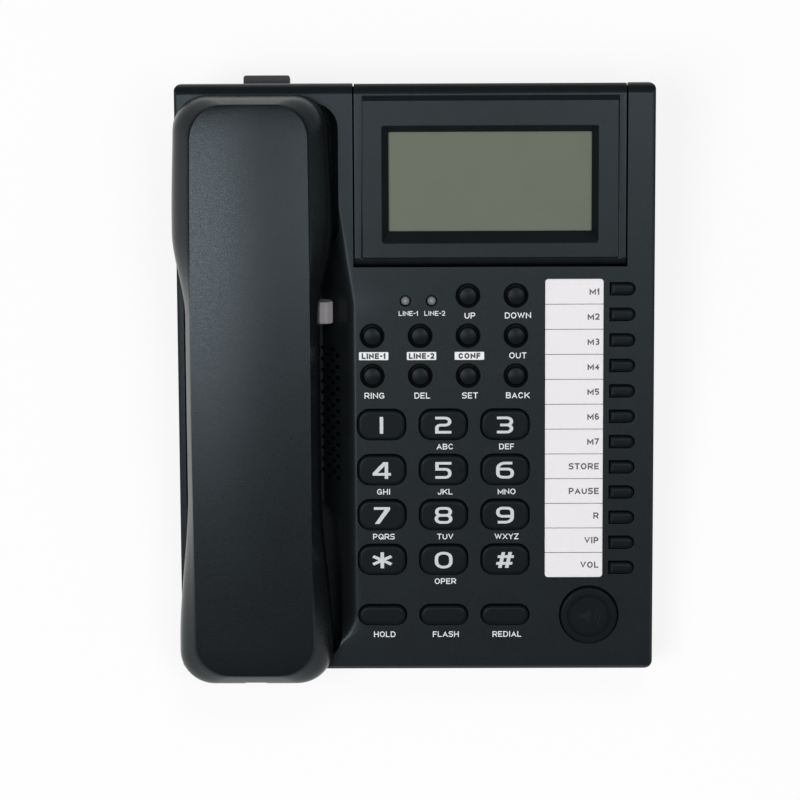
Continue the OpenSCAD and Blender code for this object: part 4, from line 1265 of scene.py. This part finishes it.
def socket_contacts():
    line = [place((low.x + high.x) / 2, high.y, math.pi, high.x - low.x, low, high)
            for low, high in solids_of("line_sockets")]
    contacts("line_contacts", "base", line)
    low, high = solids_of("cord_socket")[0]
    cord = place(low.x, (low.y + high.y) / 2, -math.pi / 2, high.y - low.y, low, high)
    contacts("cord_contacts", "base", [cord])
    low, high = extents("handset_socket")
    spot, width, height = place((low.x + high.x) / 2, low.y, 0, high.x - low.x, low, high)
    contacts("handset_contacts", "handset", [(METRES.inverted() @ FACE @ spot, width, height)])


socket_contacts()


# Floor, light and camera

FLOOR_GLOW = 0.82
FLOOR_HALF = 6


def floor():
    """Pale floor: nearly white to the camera, with the object's shadow kept."""
    finish = Finish("floor_paper")
    finish.set(Roughness=0.9)
    finish.paint(finish.noise(400, detail=1), (1, 1, 1), 0.92, 0.95)
    glow = finish.add("ShaderNodeEmission", Color=(1, 1, 1, 1), Strength=1.0)
    path = finish.add("ShaderNodeLightPath")
    seen = path.outputs["Is Camera Ray"]
    for ray in ("Is Glossy Ray", "Is Transmission Ray"):
        either = finish.add("ShaderNodeMath")
        either.operation = "ADD"
        either.use_clamp = True
        finish.link(seen, either.inputs[0])
        finish.link(path.outputs[ray], either.inputs[1])
        seen = either.outputs["Value"]
    share = finish.add("ShaderNodeMath")
    share.operation = "MULTIPLY"
    share.inputs[1].default_value = FLOOR_GLOW
    finish.link(seen, share.inputs[0])
    mix = finish.add("ShaderNodeMixShader")
    finish.link(share.outputs["Value"], mix.inputs["Fac"])
    finish.link(finish.shader.outputs["BSDF"], mix.inputs[1])
    finish.link(glow.outputs["Emission"], mix.inputs[2])
    finish.link(mix.outputs["Shader"], finish.tree.nodes["Material Output"].inputs["Surface"])
    bm = bmesh.new()
    bmesh.ops.create_grid(bm, x_segments=1, y_segments=1, size=FLOOR_HALF)
    obj = mesh_object("floor", bm)
    obj.data.materials.append(finish.material)


def lamp(name, place, size, power, glossy=True):
    """Round soft lamp that points at the origin.
    One that isn't glossy stands behind a polariser, so that nothing mirrors it."""
    data = bpy.data.lights.new(name, "AREA")
    data.shape = "DISK"
    data.size = size
    data.energy = power
    obj = bpy.data.objects.new(name, data)
    obj.location = place
    obj.rotation_euler = (-Vector(place)).to_track_quat("-Z", "Y").to_euler()
    obj.visible_glossy = glossy
    SCENE.collection.objects.link(obj)


def world(strength):
    data = bpy.data.worlds.new("studio")
    data.use_nodes = True
    data.node_tree.nodes["Background"].inputs["Color"].default_value = (1, 1, 1, 1)
    data.node_tree.nodes["Background"].inputs["Strength"].default_value = strength
    SCENE.world = data


PHOTO_SIDE = 800
SENSOR = 36
CAMERA_SPOT = (8.13, -18.47, 1247)
CAMERA_ROLL = 0.00322
CAMERA_PITCH = -0.0092
CAMERA_YAW = -0.01158
FOCAL_PIXELS = 3328.2


def camera():
    """Straight above the face, at the photograph's distance and turn."""
    data = bpy.data.cameras.new("camera")
    data.sensor_width = SENSOR
    data.lens = FOCAL_PIXELS * SENSOR / PHOTO_SIDE
    obj = bpy.data.objects.new("camera", data)
    roll = Matrix.Rotation(CAMERA_ROLL, 4, "Z")
    yaw = Matrix.Rotation(CAMERA_YAW, 4, "Y")
    pitch = Matrix.Rotation(CAMERA_PITCH, 4, "X")
    obj.matrix_world = Matrix.Translation(Vector(CAMERA_SPOT) * MM) @ (roll @ yaw @ pitch).transposed()
    SCENE.collection.objects.link(obj)
    SCENE.camera = obj


floor()
lamp("key_light", (-0.62, -0.28, 1.95), 0.8, 21)
lamp("side_light", (0.5, -0.15, 1.95), 0.6, 11)
lamp("rear_light", (0.15, 0.7, 1.8), 0.6, 6, glossy=False)
world(0.14)
camera()
SCENE.view_settings.view_transform = "Standard"
